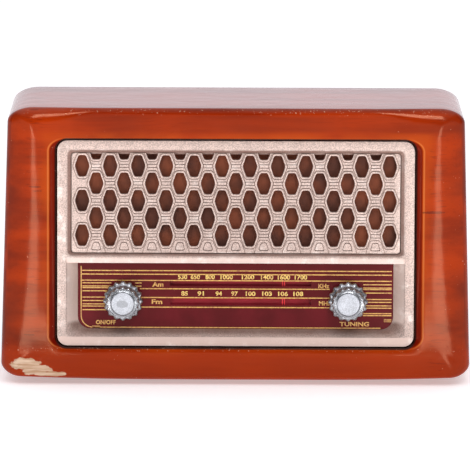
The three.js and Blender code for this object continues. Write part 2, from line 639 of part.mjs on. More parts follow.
// ---------------------------------------------------------------- chassis and tuning drive
const FLANGE_BACK = FLANGE_DEPTH + CHASSIS;
const FLANGE_TOP = CORD_RUN + 1;
const IDLERS = [
  { name: "idler_pulley_left", x: -48, z: CORD_RUN - IDLER_CORD_RADIUS },
  { name: "idler_pulley_right", x: 52, z: CORD_RUN - IDLER_CORD_RADIUS },
];
const GROOVE = CORD_RADIUS + GAP; // half the width of a cord groove
const BUSHING_RADIUS = 5;
const VOLUME_BUSH_RADIUS = 4.5;
const BOARD = {
  left: -76,
  right: -8,
  front: FLANGE_BACK + 16,
  back: FLANGE_BACK + 48,
  low: CHASSIS_FLOOR + 6.8,
};
const BOARD_THICKNESS = 1.6;
const STANDOFF_INSET = 5; // board's edges to its standoffs
const standoffPlaces = () =>
  [BOARD.left + STANDOFF_INSET, BOARD.right - STANDOFF_INSET].flatMap((x) =>
    [BOARD.front + STANDOFF_INSET, BOARD.back - STANDOFF_INSET].map((depth) => [x, at(depth)]));

function chassis() {
  const [left, right] = CHASSIS_SPAN;
  const low = CHASSIS_FLOOR - CHASSIS;
  const tray = block(left, right, at(FLANGE_DEPTH), at(FLANGE_DEPTH + CHASSIS_LENGTH), low, CHASSIS_FLOOR);
  const flange = block(left, right, at(FLANGE_DEPTH), at(FLANGE_BACK), low, FLANGE_TOP);
  const standoff = ([x, y]) => post(2.5, CHASSIS_FLOOR - 0.5, BOARD.low - GAP, x, y, 12);
  const standoffs = standoffPlaces().map(standoff);
  const pins = IDLERS.flatMap(({ x, z }) => [
    rod(SCREW_RADIUS, CORD_DEPTH - 2.2, FLANGE_DEPTH + 0.5, x, z, 16),
    rod(3, CORD_DEPTH + GROOVE + 1.2, FLANGE_DEPTH + 0.5, x, z, 16),
  ]);
  const through = (radius, x, z) => rod(radius, 0, 40, x, z, 20);
  return cut(
    joined(tray, flange, ...standoffs, ...pins),
    through(BUSHING_RADIUS + GAP, KNOB_X, SHAFT_Z),
    through(VOLUME_BUSH_RADIUS + GAP, -KNOB_X, SHAFT_Z),
    through(SHAFT_RADIUS + 1.5, CORD_DRUM_CENTRE.x, CORD_DRUM_CENTRE.z),
    ...chassisScrewPlaces().map(([x, y]) => post(SCREW_RADIUS + GAP, 0, 20, x, y, 12)),
  );
}

function chassisScrew([x, y]) {
  const under = CABINET_LOW + BOTTOM_SOFTENING + 2 - GAP;
  return joined(
    post(SCREW_HEAD, under - 1.8, under, x, y, 12),
    post(SCREW_RADIUS, under - 0.5, CHASSIS_FLOOR + 3, x, y, 12),
  );
}

// The spindle carries the tuning knob in front and is held in its bushing by a collar on each side.
const BUSHING = { front: FLANGE_DEPTH - 3, back: FLANGE_BACK + 4 };
const SHAFT_FRONT = KNOB_FRONT + 3;
function tuningSpindle() {
  const [r, groove] = [SHAFT_RADIUS, SPINDLE_CORD_RADIUS - CORD_RADIUS - GAP];
  const [near, far] = [CORD_DEPTH - GROOVE, CORD_DEPTH + GROOVE];
  const profile = [
    [0, SHAFT_FRONT], [r, SHAFT_FRONT], [r, near - 1], [r + 1.5, near - 1], [r + 1.5, near], [groove, near],
    [groove, far], [r + 1.5, far], [r + 1.5, far + 1], [r, far + 1], [r, BUSHING.back + GAP],
    [r + 1.5, BUSHING.back + GAP], [r + 1.5, BUSHING.back + GAP + 1.2], [0, BUSHING.back + GAP + 1.2],
  ];
  const points = profile.map(([radius, depth]) => new THREE.Vector2(radius, at(depth)));
  return outward(new THREE.LatheGeometry(points, 16).translate(KNOB_X, 0, SHAFT_Z));
}

function tuningBushing() {
  const bore = SHAFT_RADIUS + GAP;
  const profile = [
    [bore, BUSHING.front], [BUSHING_RADIUS + 2, BUSHING.front], [BUSHING_RADIUS + 2, FLANGE_DEPTH - GAP],
    [BUSHING_RADIUS, FLANGE_DEPTH - GAP], [BUSHING_RADIUS, BUSHING.back], [bore, BUSHING.back],
  ];
  return turned(profile, KNOB_X, SHAFT_Z, 16);
}

function volumeControl() {
  const bore = SHAFT_RADIUS + GAP;
  const profile = [
    [0, FLANGE_BACK + 16], [0, FLANGE_BACK + 9], [bore, FLANGE_BACK + 9], [bore, FLANGE_DEPTH - 5],
    [VOLUME_BUSH_RADIUS, FLANGE_DEPTH - 5], [VOLUME_BUSH_RADIUS, FLANGE_BACK + GAP],
    [9, FLANGE_BACK + GAP], [9, FLANGE_BACK + 16],
  ];
  const points = [...profile, profile[0]].map(([radius, depth]) => new THREE.Vector2(radius, at(depth)));
  const body = outward(new THREE.LatheGeometry(points, 16).translate(-KNOB_X, 0, SHAFT_Z));
  const [tagFront, tagBack] = [at(FLANGE_BACK + 2), at(FLANGE_BACK + 3.5)];
  const tags = block(-KNOB_X - 6, -KNOB_X + 6, tagFront, tagBack, SHAFT_Z - 14, SHAFT_Z - 5);
  return joined(body, tags);
}

function volumeShaft() {
  return rod(SHAFT_RADIUS, SHAFT_FRONT, FLANGE_BACK + 9 - GAP, -KNOB_X, SHAFT_Z, 16);
}

// A toothed knob: a wide skirt, a narrower toothed barrel and a pocket for the bright inlay.
function knob(x) {
  const perTooth = 3;
  const points = KNOB_TEETH * perTooth;
  const ring = (radius, depth, tooth) => {
    const circle = [];
    for (let i = 0; i < points; i++) {
      const a = (2 * Math.PI * i) / points;
      const high = i % perTooth === 0 ? -tooth : tooth;
      circle.push([x + (radius + high) * Math.cos(a), at(depth), SHAFT_Z + (radius + high) * Math.sin(a)]);
    }
    return circle;
  };
  const body = loft([
    ring(KNOB_RADIUS, KNOB_BACK, TOOTH),
    ring(KNOB_RADIUS, KNOB_BACK - 4.2, TOOTH),
    ring(KNOB_RING_RADIUS - 0.4, KNOB_BACK - 5, 0),
    ring(KNOB_RING_RADIUS - 0.8, KNOB_FRONT + 6.8, 0),
    ring(KNOB_RING_RADIUS - TOOTH, KNOB_FRONT + 6, TOOTH),
    ring(KNOB_RING_RADIUS - TOOTH, KNOB_FRONT + 1.2, TOOTH),
    ring(KNOB_RING_RADIUS - 1.8, KNOB_FRONT + 0.4, 0),
  ], false);
  const bore = rod(SHAFT_RADIUS + GAP, SHAFT_FRONT - GAP, KNOB_BACK + 1, x, SHAFT_Z, 16);
  return cut(body, bore, rod(KNOB_CAP_RADIUS + GAP, KNOB_FRONT - 1, KNOB_FRONT + 1.4, x, SHAFT_Z));
}

const knobCap = (x) => rod(KNOB_CAP_RADIUS, KNOB_FRONT, KNOB_FRONT + 1.4 - GAP, x, SHAFT_Z);

function idlerPulley({ x, z }) {
  const [near, far] = [CORD_DEPTH - GROOVE, CORD_DEPTH + GROOVE];
  const bore = SCREW_RADIUS + GAP;
  const groove = IDLER_CORD_RADIUS - CORD_RADIUS - GAP;
  const flange = IDLER_CORD_RADIUS + 1;
  const profile = [
    [bore, near - 0.9], [flange, near - 0.9], [flange, near], [groove, near], [groove, far], [flange, far],
    [flange, far + 0.9], [bore, far + 0.9],
  ];
  return turned(profile, x, z, 16);
}

function dialDrum() {
  const { x, z } = CORD_DRUM_CENTRE;
  const [near, far] = [CORD_DEPTH - GROOVE, CORD_DEPTH + GROOVE];
  const bore = SHAFT_RADIUS + GAP;
  const groove = DRUM_CORD_RADIUS - CORD_RADIUS - GAP;
  const flange = DRUM_CORD_RADIUS + 1.2;
  const profile = [
    [bore, near - 0.9], [flange, near - 0.9], [flange, near], [groove, near], [groove, far], [flange, far],
    [flange, far + 0.9], [7, far + 0.9], [7, far + 4], [bore, far + 4],
  ];
  const windows = [60, 180, 300].map((turn) => {
    const a = THREE.MathUtils.degToRad(turn);
    return rod(5, 0, 40, x + 14 * Math.cos(a), z + 14 * Math.sin(a), 10);
  });
  return cut(turned(profile, x, z, 36), ...windows);
}

// The cord runs round the drum, both idlers and the spindle in one plane, always on their outer side.
function dialCord() {
  const wheels = [
    { ...IDLERS[0], r: IDLER_CORD_RADIUS },
    { ...IDLERS[1], r: IDLER_CORD_RADIUS },
    { x: KNOB_X, z: SHAFT_Z, r: SPINDLE_CORD_RADIUS },
    { ...CORD_DRUM_CENTRE, r: DRUM_CORD_RADIUS },
  ];
  const leaving = wheels.map((a, i) => {
    const b = wheels[(i + 1) % wheels.length];
    const distance = Math.hypot(b.x - a.x, b.z - a.z);
    return Math.atan2(b.z - a.z, b.x - a.x) + Math.acos((a.r - b.r) / distance);
  });
  const stations = [];
  const arc = (wheel, from, to) => {
    let end = to;
    while (end > from) end -= 2 * Math.PI;
    const steps = Math.max(1, Math.ceil((from - end) / 0.28));
    for (let i = 0; i <= steps; i++) {
      const a = from + ((end - from) * i) / steps;
      stations.push([wheel.x + wheel.r * Math.cos(a), at(CORD_DEPTH), wheel.z + wheel.r * Math.sin(a)]);
    }
  };
  const drum = wheels[3];
  const knot = -Math.PI * 0.5;
  arc(drum, knot - 0.03, leaving[3]);
  arc(wheels[0], leaving[3], leaving[0]);
  arc(wheels[1], leaving[0], leaving[1]);
  arc(wheels[2], leaving[1], leaving[2]);
  arc(drum, leaving[2], knot + 0.03);
  return wire(stations, CORD_RADIUS);
}

// The carriage hooks over the backing's top edge; its two-pronged needle hangs behind the dial.
function pointerCarriage() {
  const x = POINTER_REST;
  const rear = CORD_DEPTH - CORD_RADIUS - GAP;
  const top = RAIL_TOP + 2.2;
  const prong = (side) => block(x + Math.min(side * 0.3, side * 0.9), x + Math.max(side * 0.3, side * 0.9),
    at(NEEDLE_FRONT), at(NEEDLE_FRONT + 0.6), WINDOW_STRIPS[1][0] - 1.5, RAIL_TOP - 3);
  return joined(
    block(x - 4, x + 4, at(NEEDLE_FRONT), at(rear), RAIL_TOP + GAP, top),
    block(x - 4, x + 4, at(NEEDLE_FRONT), at(BACKING_FRONT - GAP), RAIL_TOP - 4, top),
    block(x - 4, x + 4, at(BACKING_BACK + GAP), at(rear), RAIL_TOP - 5.5, top),
    prong(-1),
    prong(1),
  );
}

// ---------------------------------------------------------------- tuning capacitor
const PLATES = 4;
const PLATE_STEP = 3.2;
const PLATE_THICKNESS = 1;
const ROTOR_RADIUS = 15;
const CAPACITOR = { front: FLANGE_BACK + GAP, wall: 1.6, side: ROTOR_RADIUS + 3 };
const ROTOR_TURN = (180 * (POINTER_REST - POINTER_LEFT)) / (POINTER_RIGHT - POINTER_LEFT);
const CAPACITOR_DEPTH = 2 * CAPACITOR.wall + (PLATES + 0.5) * PLATE_STEP + 2;
const platePlace = (i) => CAPACITOR.front + CAPACITOR.wall + 1 + i * PLATE_STEP;

function halfDisc(radius, x, z, turn, front, back) {
  const shape = new THREE.Shape().absarc(0, 0, radius, Math.PI, 2 * Math.PI);
  const settings = { depth: back - front, bevelEnabled: false, curveSegments: 6 };
  const plate = new THREE.ExtrudeGeometry(shape, settings);
  return plate.rotateX(Math.PI / 2).translate(0, back - front, 0).rotateY(turn).translate(x, at(front), z);
}

function capacitorFrame() {
  const { x, z } = CORD_DRUM_CENTRE;
  const { front, wall, side } = CAPACITOR;
  const back = front + CAPACITOR_DEPTH;
  const [low, high] = [CHASSIS_FLOOR + GAP, z + ROTOR_RADIUS + 2];
  const stators = [];
  for (let i = 0; i < PLATES; i++) {
    const d = platePlace(i) + PLATE_STEP / 2;
    const plate = block(x - side, x + side, at(d), at(d + PLATE_THICKNESS), low, z - 2);
    stators.push(cut(plate, rod(6, 0, 90, x, z, 20)));
  }
  return cut(
    joined(
      block(x - side, x + side, at(front), at(front + wall), low, high),
      block(x - side, x + side, at(back - wall), at(back), low, high),
      block(x - side, x + side, at(front), at(back), low, low + wall),
      block(x - side, x - side + wall, at(front), at(back), low, z - 2),
      block(x + side - wall, x + side, at(front), at(back), low, z - 2),
      ...stators,
    ),
    rod(SHAFT_RADIUS + GAP, 0, CABINET_DEPTH, x, z, 16),
  );
}

function capacitorRotor() {
  const { x, z } = CORD_DRUM_CENTRE;
  const turn = THREE.MathUtils.degToRad(ROTOR_TURN);
  const plates = [];
  for (let i = 0; i < PLATES; i++)
    plates.push(halfDisc(ROTOR_RADIUS, x, z, turn, platePlace(i), platePlace(i) + PLATE_THICKNESS));
  const first = platePlace(0);
  const last = platePlace(PLATES - 1) + PLATE_THICKNESS;
  return joined(
    rod(SHAFT_RADIUS, CORD_DEPTH - GROOVE - 0.9, CAPACITOR.front + CAPACITOR_DEPTH + 2, x, z, 16),
    rod(5, first, last, x, z, 16),
    ...plates,
  );
}

add("chassis", chassis(), steel);
chassisScrewPlaces().forEach((place, i) => add(`chassis_screw_${i + 1}`, chassisScrew(place), steel));
add("tuning_spindle", tuningSpindle(), brass);
add("tuning_bushing", tuningBushing(), brass);
add("tuning_knob", knob(KNOB_X), silver);
add("tuning_knob_cap", knobCap(KNOB_X), brightSilver);
add("volume_control", volumeControl(), steel);
add("volume_shaft", volumeShaft(), steel);
add("volume_knob", knob(-KNOB_X), silver);
add("volume_knob_cap", knobCap(-KNOB_X), brightSilver);
IDLERS.forEach((idler) => add(idler.name, idlerPulley(idler), creamPlastic));
add("dial_drum", dialDrum(), creamPlastic);
add("dial_cord", dialCord(), cordThread);
add("pointer_carriage", pointerCarriage(), needleRed);
add("capacitor_frame", capacitorFrame(), steel);
add("capacitor_rotor", capacitorRotor(), steel);

// ---------------------------------------------------------------- electronics
const BOARD_TOP = BOARD.low + BOARD_THICKNESS;
function dialLamp(side) {
  const profile = [
    [0, DIAL_BACK + 1.1], [1.2, DIAL_BACK + 1.4],
    [BULB_RADIUS, DIAL_BACK + 2.4], [BULB_RADIUS, BACKING_BACK + GAP],
    [3.6, BACKING_BACK + GAP], [3.6, BACKING_BACK + 6], [0, BACKING_BACK + 6],
  ];
  const points = profile.map(([radius, depth]) => new THREE.Vector2(radius, at(depth)));
  return outward(new THREE.LatheGeometry(points, 20).translate(side * LAMP_X, 0, LAMP_Z));
}

const FERRITE = { radius: 4, half: 50, x: -28, z: 66, depth: FLANGE_DEPTH + CHASSIS_LENGTH - 9 };
const HOLDER_HALF = 38;
function ferriteHolder() {
  const { radius, x, z, depth } = FERRITE;
  const [low, high] = [CHASSIS_FLOOR + GAP, CHASSIS_FLOOR + 3];
  const base = block(x - HOLDER_HALF, x + HOLDER_HALF, at(depth - 4), at(depth + 4), low, high);
  const upright = (side) => block(x + side * HOLDER_HALF - 1.5, x + side * HOLDER_HALF + 1.5,
    at(depth - 7), at(depth + 7), CHASSIS_FLOOR + GAP, z + radius + 4);
  const rodSeat = bar(radius + GAP, x - FERRITE.half, x + FERRITE.half, depth, z, 20);
  return cut(joined(base, upright(-1), upright(1)), rodSeat);
}

function ferriteCoil() {
  const { radius, x, z, depth } = FERRITE;
  const sleeve = bar(radius + 1.8, x - 14, x + 14, depth, z, 16);
  const bore = bar(radius + GAP, x - 20, x + 20, depth, z, 20);
  return cut(sleeve, bore);
}

function transformer() {
  const [x0, x1, front, back, low] = [46, 80, FLANGE_BACK + 16, FLANGE_BACK + 44, CHASSIS_FLOOR + GAP];
  return joined(
    block(x0, x1, at(front + 6), at(back - 6), low, low + 29),
    block(x0 + 6, x1 - 6, at(front), at(back), low + 5.5, low + 23.5),
    block(x0 - 4, x1 + 4, at(front + 8), at(back - 8), low, low + 1.5),
  );
}

function circuitBoard() {
  return block(BOARD.left, BOARD.right, at(BOARD.front), at(BOARD.back), BOARD.low, BOARD_TOP);
}

function intermediateCan(x, depth) {
  return block(x - 5, x + 5, at(depth - 5), at(depth + 5), BOARD_TOP + GAP, BOARD_TOP + 13);
}

add("dial_lamp_left", dialLamp(-1), creamPlastic);
add("dial_lamp_right", dialLamp(1), creamPlastic);
add("circuit_board", circuitBoard(), board);
add("if_transformer_1", intermediateCan(-60, BOARD.front + 10), steel);
add("if_transformer_2", intermediateCan(-42, BOARD.front + 10), steel);
const filterCapacitor = post(6.5, BOARD_TOP + GAP, BOARD_TOP + 24, -22, at(BOARD.back - 11), 16);
add("filter_capacitor", filterCapacitor, blackPlastic);
const [ROD_LEFT, ROD_RIGHT] = [FERRITE.x - FERRITE.half, FERRITE.x + FERRITE.half];
add("ferrite_rod", bar(FERRITE.radius, ROD_LEFT, ROD_RIGHT, FERRITE.depth, FERRITE.z, 20), ferrite);
add("ferrite_coil", ferriteCoil(), copper);
add("ferrite_holder", ferriteHolder(), creamPlastic);
add("mains_transformer", transformer(), steel);

// ---------------------------------------------------------------- rear cover and connectors
// A block about (x, z), wide along X and tall along Z, from depth to depth.
const blockAt = (x, z, wide, tall, front, back) =>
  block(x - wide / 2, x + wide / 2, at(front), at(back), z - tall / 2, z + tall / 2);

const COVER_CUT = COVER_FRONT - 10; // where the cuts through the cover start
const VENT = { wide: 14, tall: 3, pitch: 20, rowPitch: 14, rows: 3, across: 4 };
const INLET = { x: 67, z: CHASSIS_FLOOR + 21, wide: 18, tall: 13 };
const SWITCH = { x: -28, z: CHASSIS_FLOOR + 21, travel: 4 };
const SLIDER = { wide: 4, tall: 3 };
const sliderSlot = (front, back, grow) => block(
  SWITCH.x - SLIDER.wide / 2 - grow, SWITCH.x + SLIDER.wide / 2 + SWITCH.travel + grow,
  at(front), at(back), SWITCH.z - SLIDER.tall / 2 - grow, SWITCH.z + SLIDER.tall / 2 + grow);

function rearCover() {
  const edge = shaped(WALL - REAR_REBATE + GAP).map(({ x, z }) => new THREE.Vector2(x, z));
  const plate = panel(new THREE.Shape(edge), COVER_FRONT, COVER_BACK);
  const { x, z, wide, tall } = INLET;
  const vents = [];
  for (let row = 0; row < VENT.rows; row++) {
    for (let i = -VENT.across; i <= VENT.across; i++) {
      const height = SPEAKER_Z + 1.5 + (row - (VENT.rows - 1) / 2) * VENT.rowPitch;
      vents.push(blockAt(i * VENT.pitch, height, VENT.wide, VENT.tall, COVER_CUT, CABINET_DEPTH));
    }
  }
  const screwHole = ([sx, sz]) => rod(SCREW_RADIUS + GAP, COVER_CUT, CABINET_DEPTH, sx, sz, 12);
  return cut(
    plate,
    blockAt(x, z, wide + 2 * GAP, tall + 2 * GAP, COVER_CUT, CABINET_DEPTH),
    sliderSlot(COVER_CUT, CABINET_DEPTH, GAP),
    ...coverScrewPlaces().map(screwHole),
    ...vents,
  );
}

function powerInlet() {
  const { x, z, wide, tall } = INLET;
  const [front, back] = [COVER_FRONT - 12, COVER_BACK + GAP + 1.5];
  const pin = (side) => rod(1.2, front + 1, back - 3, x + side * 3.5, z, 12);
  const shell = cut(
    joined(
      blockAt(x, z, wide, tall, front, back),
      blockAt(x, z, wide + 8, tall + 5, COVER_BACK + GAP, back),
    ),
    blockAt(x, z, wide - 4, tall - 5, front + 2, back + 1),
  );
  return joined(shell, pin(-1), pin(1));
}

function bandSwitch() {
  const { x, z, travel } = SWITCH;
  const [front, back] = [COVER_FRONT - GAP - 9, COVER_FRONT - GAP];
  const middle = x + travel / 2;
  const body = block(middle - 11, middle + 11, at(front), at(back), z - 5, z + 5);
  return cut(body, sliderSlot(front + 3, back + 1, GAP));
}

function bandSlider() {
  const { x, z } = SWITCH;
  return blockAt(x, z, SLIDER.wide, SLIDER.tall, COVER_FRONT - 6, COVER_BACK + 2.5);
}

add("rear_cover", rearCover(), hardboard);
coverScrewPlaces().forEach(([x, z], i) =>
  add(`cover_screw_${i + 1}`, rearScrew(x, z, COVER_BACK + GAP, 11), steel));
add("power_inlet", powerInlet(), blackPlastic);
add("band_switch", bandSwitch(), blackPlastic);
add("band_slider", bandSlider(), creamPlastic);

// ---------------------------------------------------------------- wiring
const magnetSide = MAGNET_RADIUS + 0.8 + GAP;
add("speaker_lead", softWire([
  [-magnetSide, at(MAGNET_FRONT + 6), SPEAKER_Z], [-magnetSide - 2, at(MAGNET_FRONT + 10), SPEAKER_Z - 25],
  [-34, at(BOARD.back - 8), BOARD_TOP + 35], [-34, at(BOARD.back - 8), BOARD_TOP + 10],
  [-34, at(BOARD.back - 8), BOARD_TOP + GAP],
], 0.8, 20), blackPlastic);
add("mains_lead", softWire([
  [INLET.x, at(COVER_FRONT - 12.6), INLET.z], [INLET.x, at(COVER_FRONT - 15), INLET.z],
  [INLET.x - 1, at(FLANGE_BACK + 47), INLET.z - 3], [INLET.x - 1, at(FLANGE_BACK + 44 + GAP), INLET.z - 3],
], 1.2, 10), blackPlastic);

// ---------------------------------------------------------------- feet
const FOOT = { radius: 8, x: 96, front: 34, back: 94 };
function foot(x, depth) {
  const inner = Math.abs(x) - FOOT.radius;
  const out = Math.max(inner - BOTTOM_FLAT, 0) / (CABINET_WIDTH / 2 - BOTTOM_FLAT);
  const top = CABINET_LOW + BOTTOM_SOFTENING * out * out - GAP;
  return post(FOOT.radius, 0, top, x, at(depth), 16);
}
[[-1, FOOT.front], [1, FOOT.front], [-1, FOOT.back], [1, FOOT.back]].forEach(([side, depth], i) =>
  add(`foot_${i + 1}`, foot(side * FOOT.x, depth), rubber));

export default radio;
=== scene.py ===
"""A lacquered tabletop radio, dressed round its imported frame. Lengths are metres, in the frame's own axes."""
import math
from functools import reduce

import bmesh
import bpy
from mathutils import Matrix, Vector


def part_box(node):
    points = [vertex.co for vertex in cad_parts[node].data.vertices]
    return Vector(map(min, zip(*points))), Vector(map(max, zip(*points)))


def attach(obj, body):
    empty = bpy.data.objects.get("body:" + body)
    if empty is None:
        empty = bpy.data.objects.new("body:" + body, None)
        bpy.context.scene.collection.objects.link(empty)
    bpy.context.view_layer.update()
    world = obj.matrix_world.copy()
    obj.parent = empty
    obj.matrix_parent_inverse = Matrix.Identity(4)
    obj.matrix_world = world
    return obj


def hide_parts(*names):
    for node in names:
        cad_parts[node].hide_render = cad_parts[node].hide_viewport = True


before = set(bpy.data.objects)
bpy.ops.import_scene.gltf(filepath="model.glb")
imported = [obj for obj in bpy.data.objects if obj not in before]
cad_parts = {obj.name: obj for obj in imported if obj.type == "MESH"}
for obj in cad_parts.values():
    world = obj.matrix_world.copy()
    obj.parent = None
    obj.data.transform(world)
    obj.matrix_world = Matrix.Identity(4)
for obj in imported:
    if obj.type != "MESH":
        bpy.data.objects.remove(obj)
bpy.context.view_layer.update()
MM = 0.001


# ---------------------------------------------------------------- places taken from the frame
def low(node):
    return Vector(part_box(node)[0])


def high(node):
    return Vector(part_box(node)[1])


def middle(node):
    return (low(node) + high(node)) / 2


FRONT = low("cabinet_shell").y
BACK = high("cabinet_shell").y
CABINET_LOW = low("cabinet_shell").z
CABINET_HIGH = high("cabinet_shell").z
CABINET_HEIGHT = CABINET_HIGH - CABINET_LOW
BEZEL_HALF = high("front_bezel").x
BEZEL_LOW = low("front_bezel").z
BEZEL_HIGH = high("front_bezel").z
BEZEL_MIDDLE = (BEZEL_LOW + BEZEL_HIGH) / 2
BEZEL_SINK = low("front_bezel").y - FRONT
GRILLE_FRONT = low("speaker_grille").y
DIAL_FRONT = low("dial_scale").y
KNOBS = {"tuning": middle("tuning_knob"), "volume": middle("volume_knob")}

# The cabinet's opening: its corner, and the rounded lip outside it, wider on the pillars than on the bars.
BEZEL_CORNER = 6 * MM
SIDE_LIP = 5.4 * MM
BAR_LIP = 1.8 * MM
REVEAL = 0.8 * MM

# The lower left corner's chip: spots by their middle and half size.
CHIP = [
    ((-0.1250, FRONT + 0.004, 0.0126), (0.0085, 0.02, 0.0037)),
    ((-0.1185, FRONT + 0.004, 0.0092), (0.0100, 0.02, 0.0028)),
    ((-0.1105, FRONT + 0.004, 0.0066), (0.0100, 0.02, 0.0014)),
]
# Dark marks in the lacquer: (x, z), (half width, half height), raggedness, grain.
MARKS = [
    ((-0.1190, 0.1190), (0.0036, 0.0006), 0.8, 900.0), ((-0.1225, 0.0302), (0.0034, 0.0005), 0.8, 900.0),
    ((0.1170, 0.1045), (0.0065, 0.0008), 0.6, 500.0), ((-0.1180, 0.1165), (0.0026, 0.0004), 0.8, 900.0),
]
MARK_DEPTH = 0.02

# Bands by where they start, are full, begin to fade and are gone: heights on the front, and a distance from
# the middle for the short ticks on the pillars.
# The top bar's band of painted shade.
BROW_SHADE = (0.1500, 0.1535, 0.1600, 0.1630)
RIDGE = (0.1615, 0.1630, 0.1650, 0.1658)
PANEL_FOOT = (0.0200, 0.0212, 0.0220, 0.0228)
# The dial well's heights on the front panel, where its sides are made paler as painted light.
DIAL_WELL = (0.0355, 0.0385, 0.0756, 0.0766)
TICKS = (0.1125, 0.1175, 0.1220, 0.1270)


# ---------------------------------------------------------------- node trees
class Tree:
    """Short calls for building a node tree."""

    def __init__(self, tree):
        self.tree = tree

    def add(self, kind, settings=None, **inputs):
        node = self.tree.nodes.new(kind)
        for name, value in (settings or {}).items():
            setattr(node, name, value)
        for name, value in inputs.items():
            self.feed(node.inputs[name.replace("_", " ")], value)
        return node

    def feed(self, socket, value):
        """Links a socket or sets its value; a colour may come without its alpha."""
        if isinstance(value, bpy.types.NodeSocket):
            self.tree.links.new(value, socket)
        elif socket.type == "RGBA" and len(value) == 3:
            socket.default_value = (*value, 1)
        else:
            socket.default_value = value

    def math(self, operation, a, b=0.0, clamp=False):
        node = self.add("ShaderNodeMath", {"operation": operation, "use_clamp": clamp})
        self.feed(node.inputs[0], a)
        self.feed(node.inputs[1], b)
        return node.outputs[0]

    def times(self, *values):
        return reduce(lambda a, b: self.math("MULTIPLY", a, b), values)

    def plus(self, *values):
        return reduce(lambda a, b: self.math("ADD", a, b), values)

    def most(self, *values):
        return reduce(lambda a, b: self.math("MAXIMUM", a, b), values)

    def minus(self, a, b):
        return self.math("SUBTRACT", a, b)

    def size(self, value):
        return self.math("ABSOLUTE", value)

    def ripple(self, value, count):
        """Even ridges along a value, so many to the metre."""
        return self.size(self.math("SINE", self.times(value, math.pi * count)))

    def varied(self, level, pattern, share):
        return self.plus(level, self.times(pattern, share))

    def between(self, value, start, end):
        """A smooth step from 0 at start to 1 at end."""
        node = self.add("ShaderNodeMapRange", {"interpolation_type": "SMOOTHSTEP"}, Value=value)
        self.feed(node.inputs["From Min"], start)
        self.feed(node.inputs["From Max"], end)
        return node.outputs["Result"]

    def band(self, value, start, full, fading, gone):
        return self.times(self.between(value, start, full), self.between(value, gone, fading))

    def place(self):
        return self.add("ShaderNodeTexCoord").outputs["Object"]

    def surface(self, quality):
        return self.add("ShaderNodeNewGeometry").outputs[quality]

    def axes(self, vector=None):
        vector = self.place() if vector is None else vector
        return self.add("ShaderNodeSeparateXYZ", Vector=vector).outputs

    def vector(self, operation, a, b=(0, 0, 0)):
        node = self.add("ShaderNodeVectorMath", {"operation": operation})
        self.feed(node.inputs[0], a)
        self.feed(node.inputs[1], b)
        return node.outputs

    def scaled(self, factors, vector=None):
        return self.vector("MULTIPLY", self.place() if vector is None else vector, factors)[0]

    def noise(self, scale, detail=3.0, rough=0.5, at=None):
        at = self.place() if at is None else at
        node = self.add("ShaderNodeTexNoise", Vector=at, Scale=scale, Detail=detail, Roughness=rough)
        return node.outputs[0]

    def mix(self, factor, a, b):
        node = self.add("ShaderNodeMix", {"data_type": "RGBA", "clamp_factor": True})
        for socket, value in ((0, factor), (6, a), (7, b)):
            self.feed(node.inputs[socket], value)
        return node.outputs[2]

    def clouded(self, pattern, a, b, start=0.3, end=0.7):
        return self.mix(self.between(pattern, start, end), a, b)

    def layers(self, colour, *coats):
        """Coats over a colour, each by its mask, its share and its own tone."""
        for mask, share, tone in coats:
            colour = self.mix(self.times(mask, share), colour, tone)
        return colour


def new_group(name, inputs, outputs):
    """A shader node group, its tree helper, its sources and its sinks; each value gives its socket's kind."""
    tree = bpy.data.node_groups.new(name, "ShaderNodeTree")
    for way, sockets in (("INPUT", inputs), ("OUTPUT", outputs)):
        for label, value in sockets.items():
            kind = "NodeSocketFloat" if isinstance(value, float) else "NodeSocketColor"
            tree.interface.new_socket(label, in_out=way, socket_type=kind).default_value = value
    t = Tree(tree)
    return tree, t, t.add("NodeGroupInput").outputs, t.add("NodeGroupOutput").inputs


def speckle_group():
    """Fine metallic flakes: two sizes of grain that lighten and darken a paint or a casting."""
    grey = (0.8, 0.8, 0.8, 1)
    tree, t, source, sink = new_group("metal_flakes", {"Grain": 1800.0, "Colour": grey, "Depth": 0.3},
                                      {"Colour": grey, "Height": 0.0})
    fine = t.noise(source["Grain"], 2.0, 0.6)
    coarse = t.noise(t.times(source["Grain"], 0.12))
    level = t.between(t.plus(t.times(fine, 0.85), t.times(coarse, 0.15)), 0.33, 0.67)
    gain = t.plus(t.minus(1.0, source["Depth"]), t.times(level, source["Depth"], 2.0))
    t.feed(sink["Colour"], t.scaled(gain, source["Colour"]))
    t.feed(sink["Height"], fine)
    return tree


def mask_group(name, amount, patch, where):
    """A mask broken up by noise; where gives the tree's own mask and the noise's settings."""
    tree, t, source, sink = new_group(name, {"Amount": amount, "Patch": patch}, {"Mask": 0.0})
    mask, detail, rough, start, end = where(t)
    broken = t.between(t.noise(source["Patch"], detail, rough), start, end)
    t.feed(sink["Mask"], t.math("MULTIPLY", t.times(mask, broken), source["Amount"], True))
    return tree


def convex_edges(t):
    """Where handling and knocks rub a piece."""
    return t.between(t.surface("Pointiness"), 0.52, 0.6), 4.0, 0.65, 0.5, 0.7


def faces_up(t):
    """Where dust settles."""
    return t.between(t.axes(t.surface("Normal"))["Z"], 0.3, 0.95), 5.0, 0.7, 0.35, 0.75


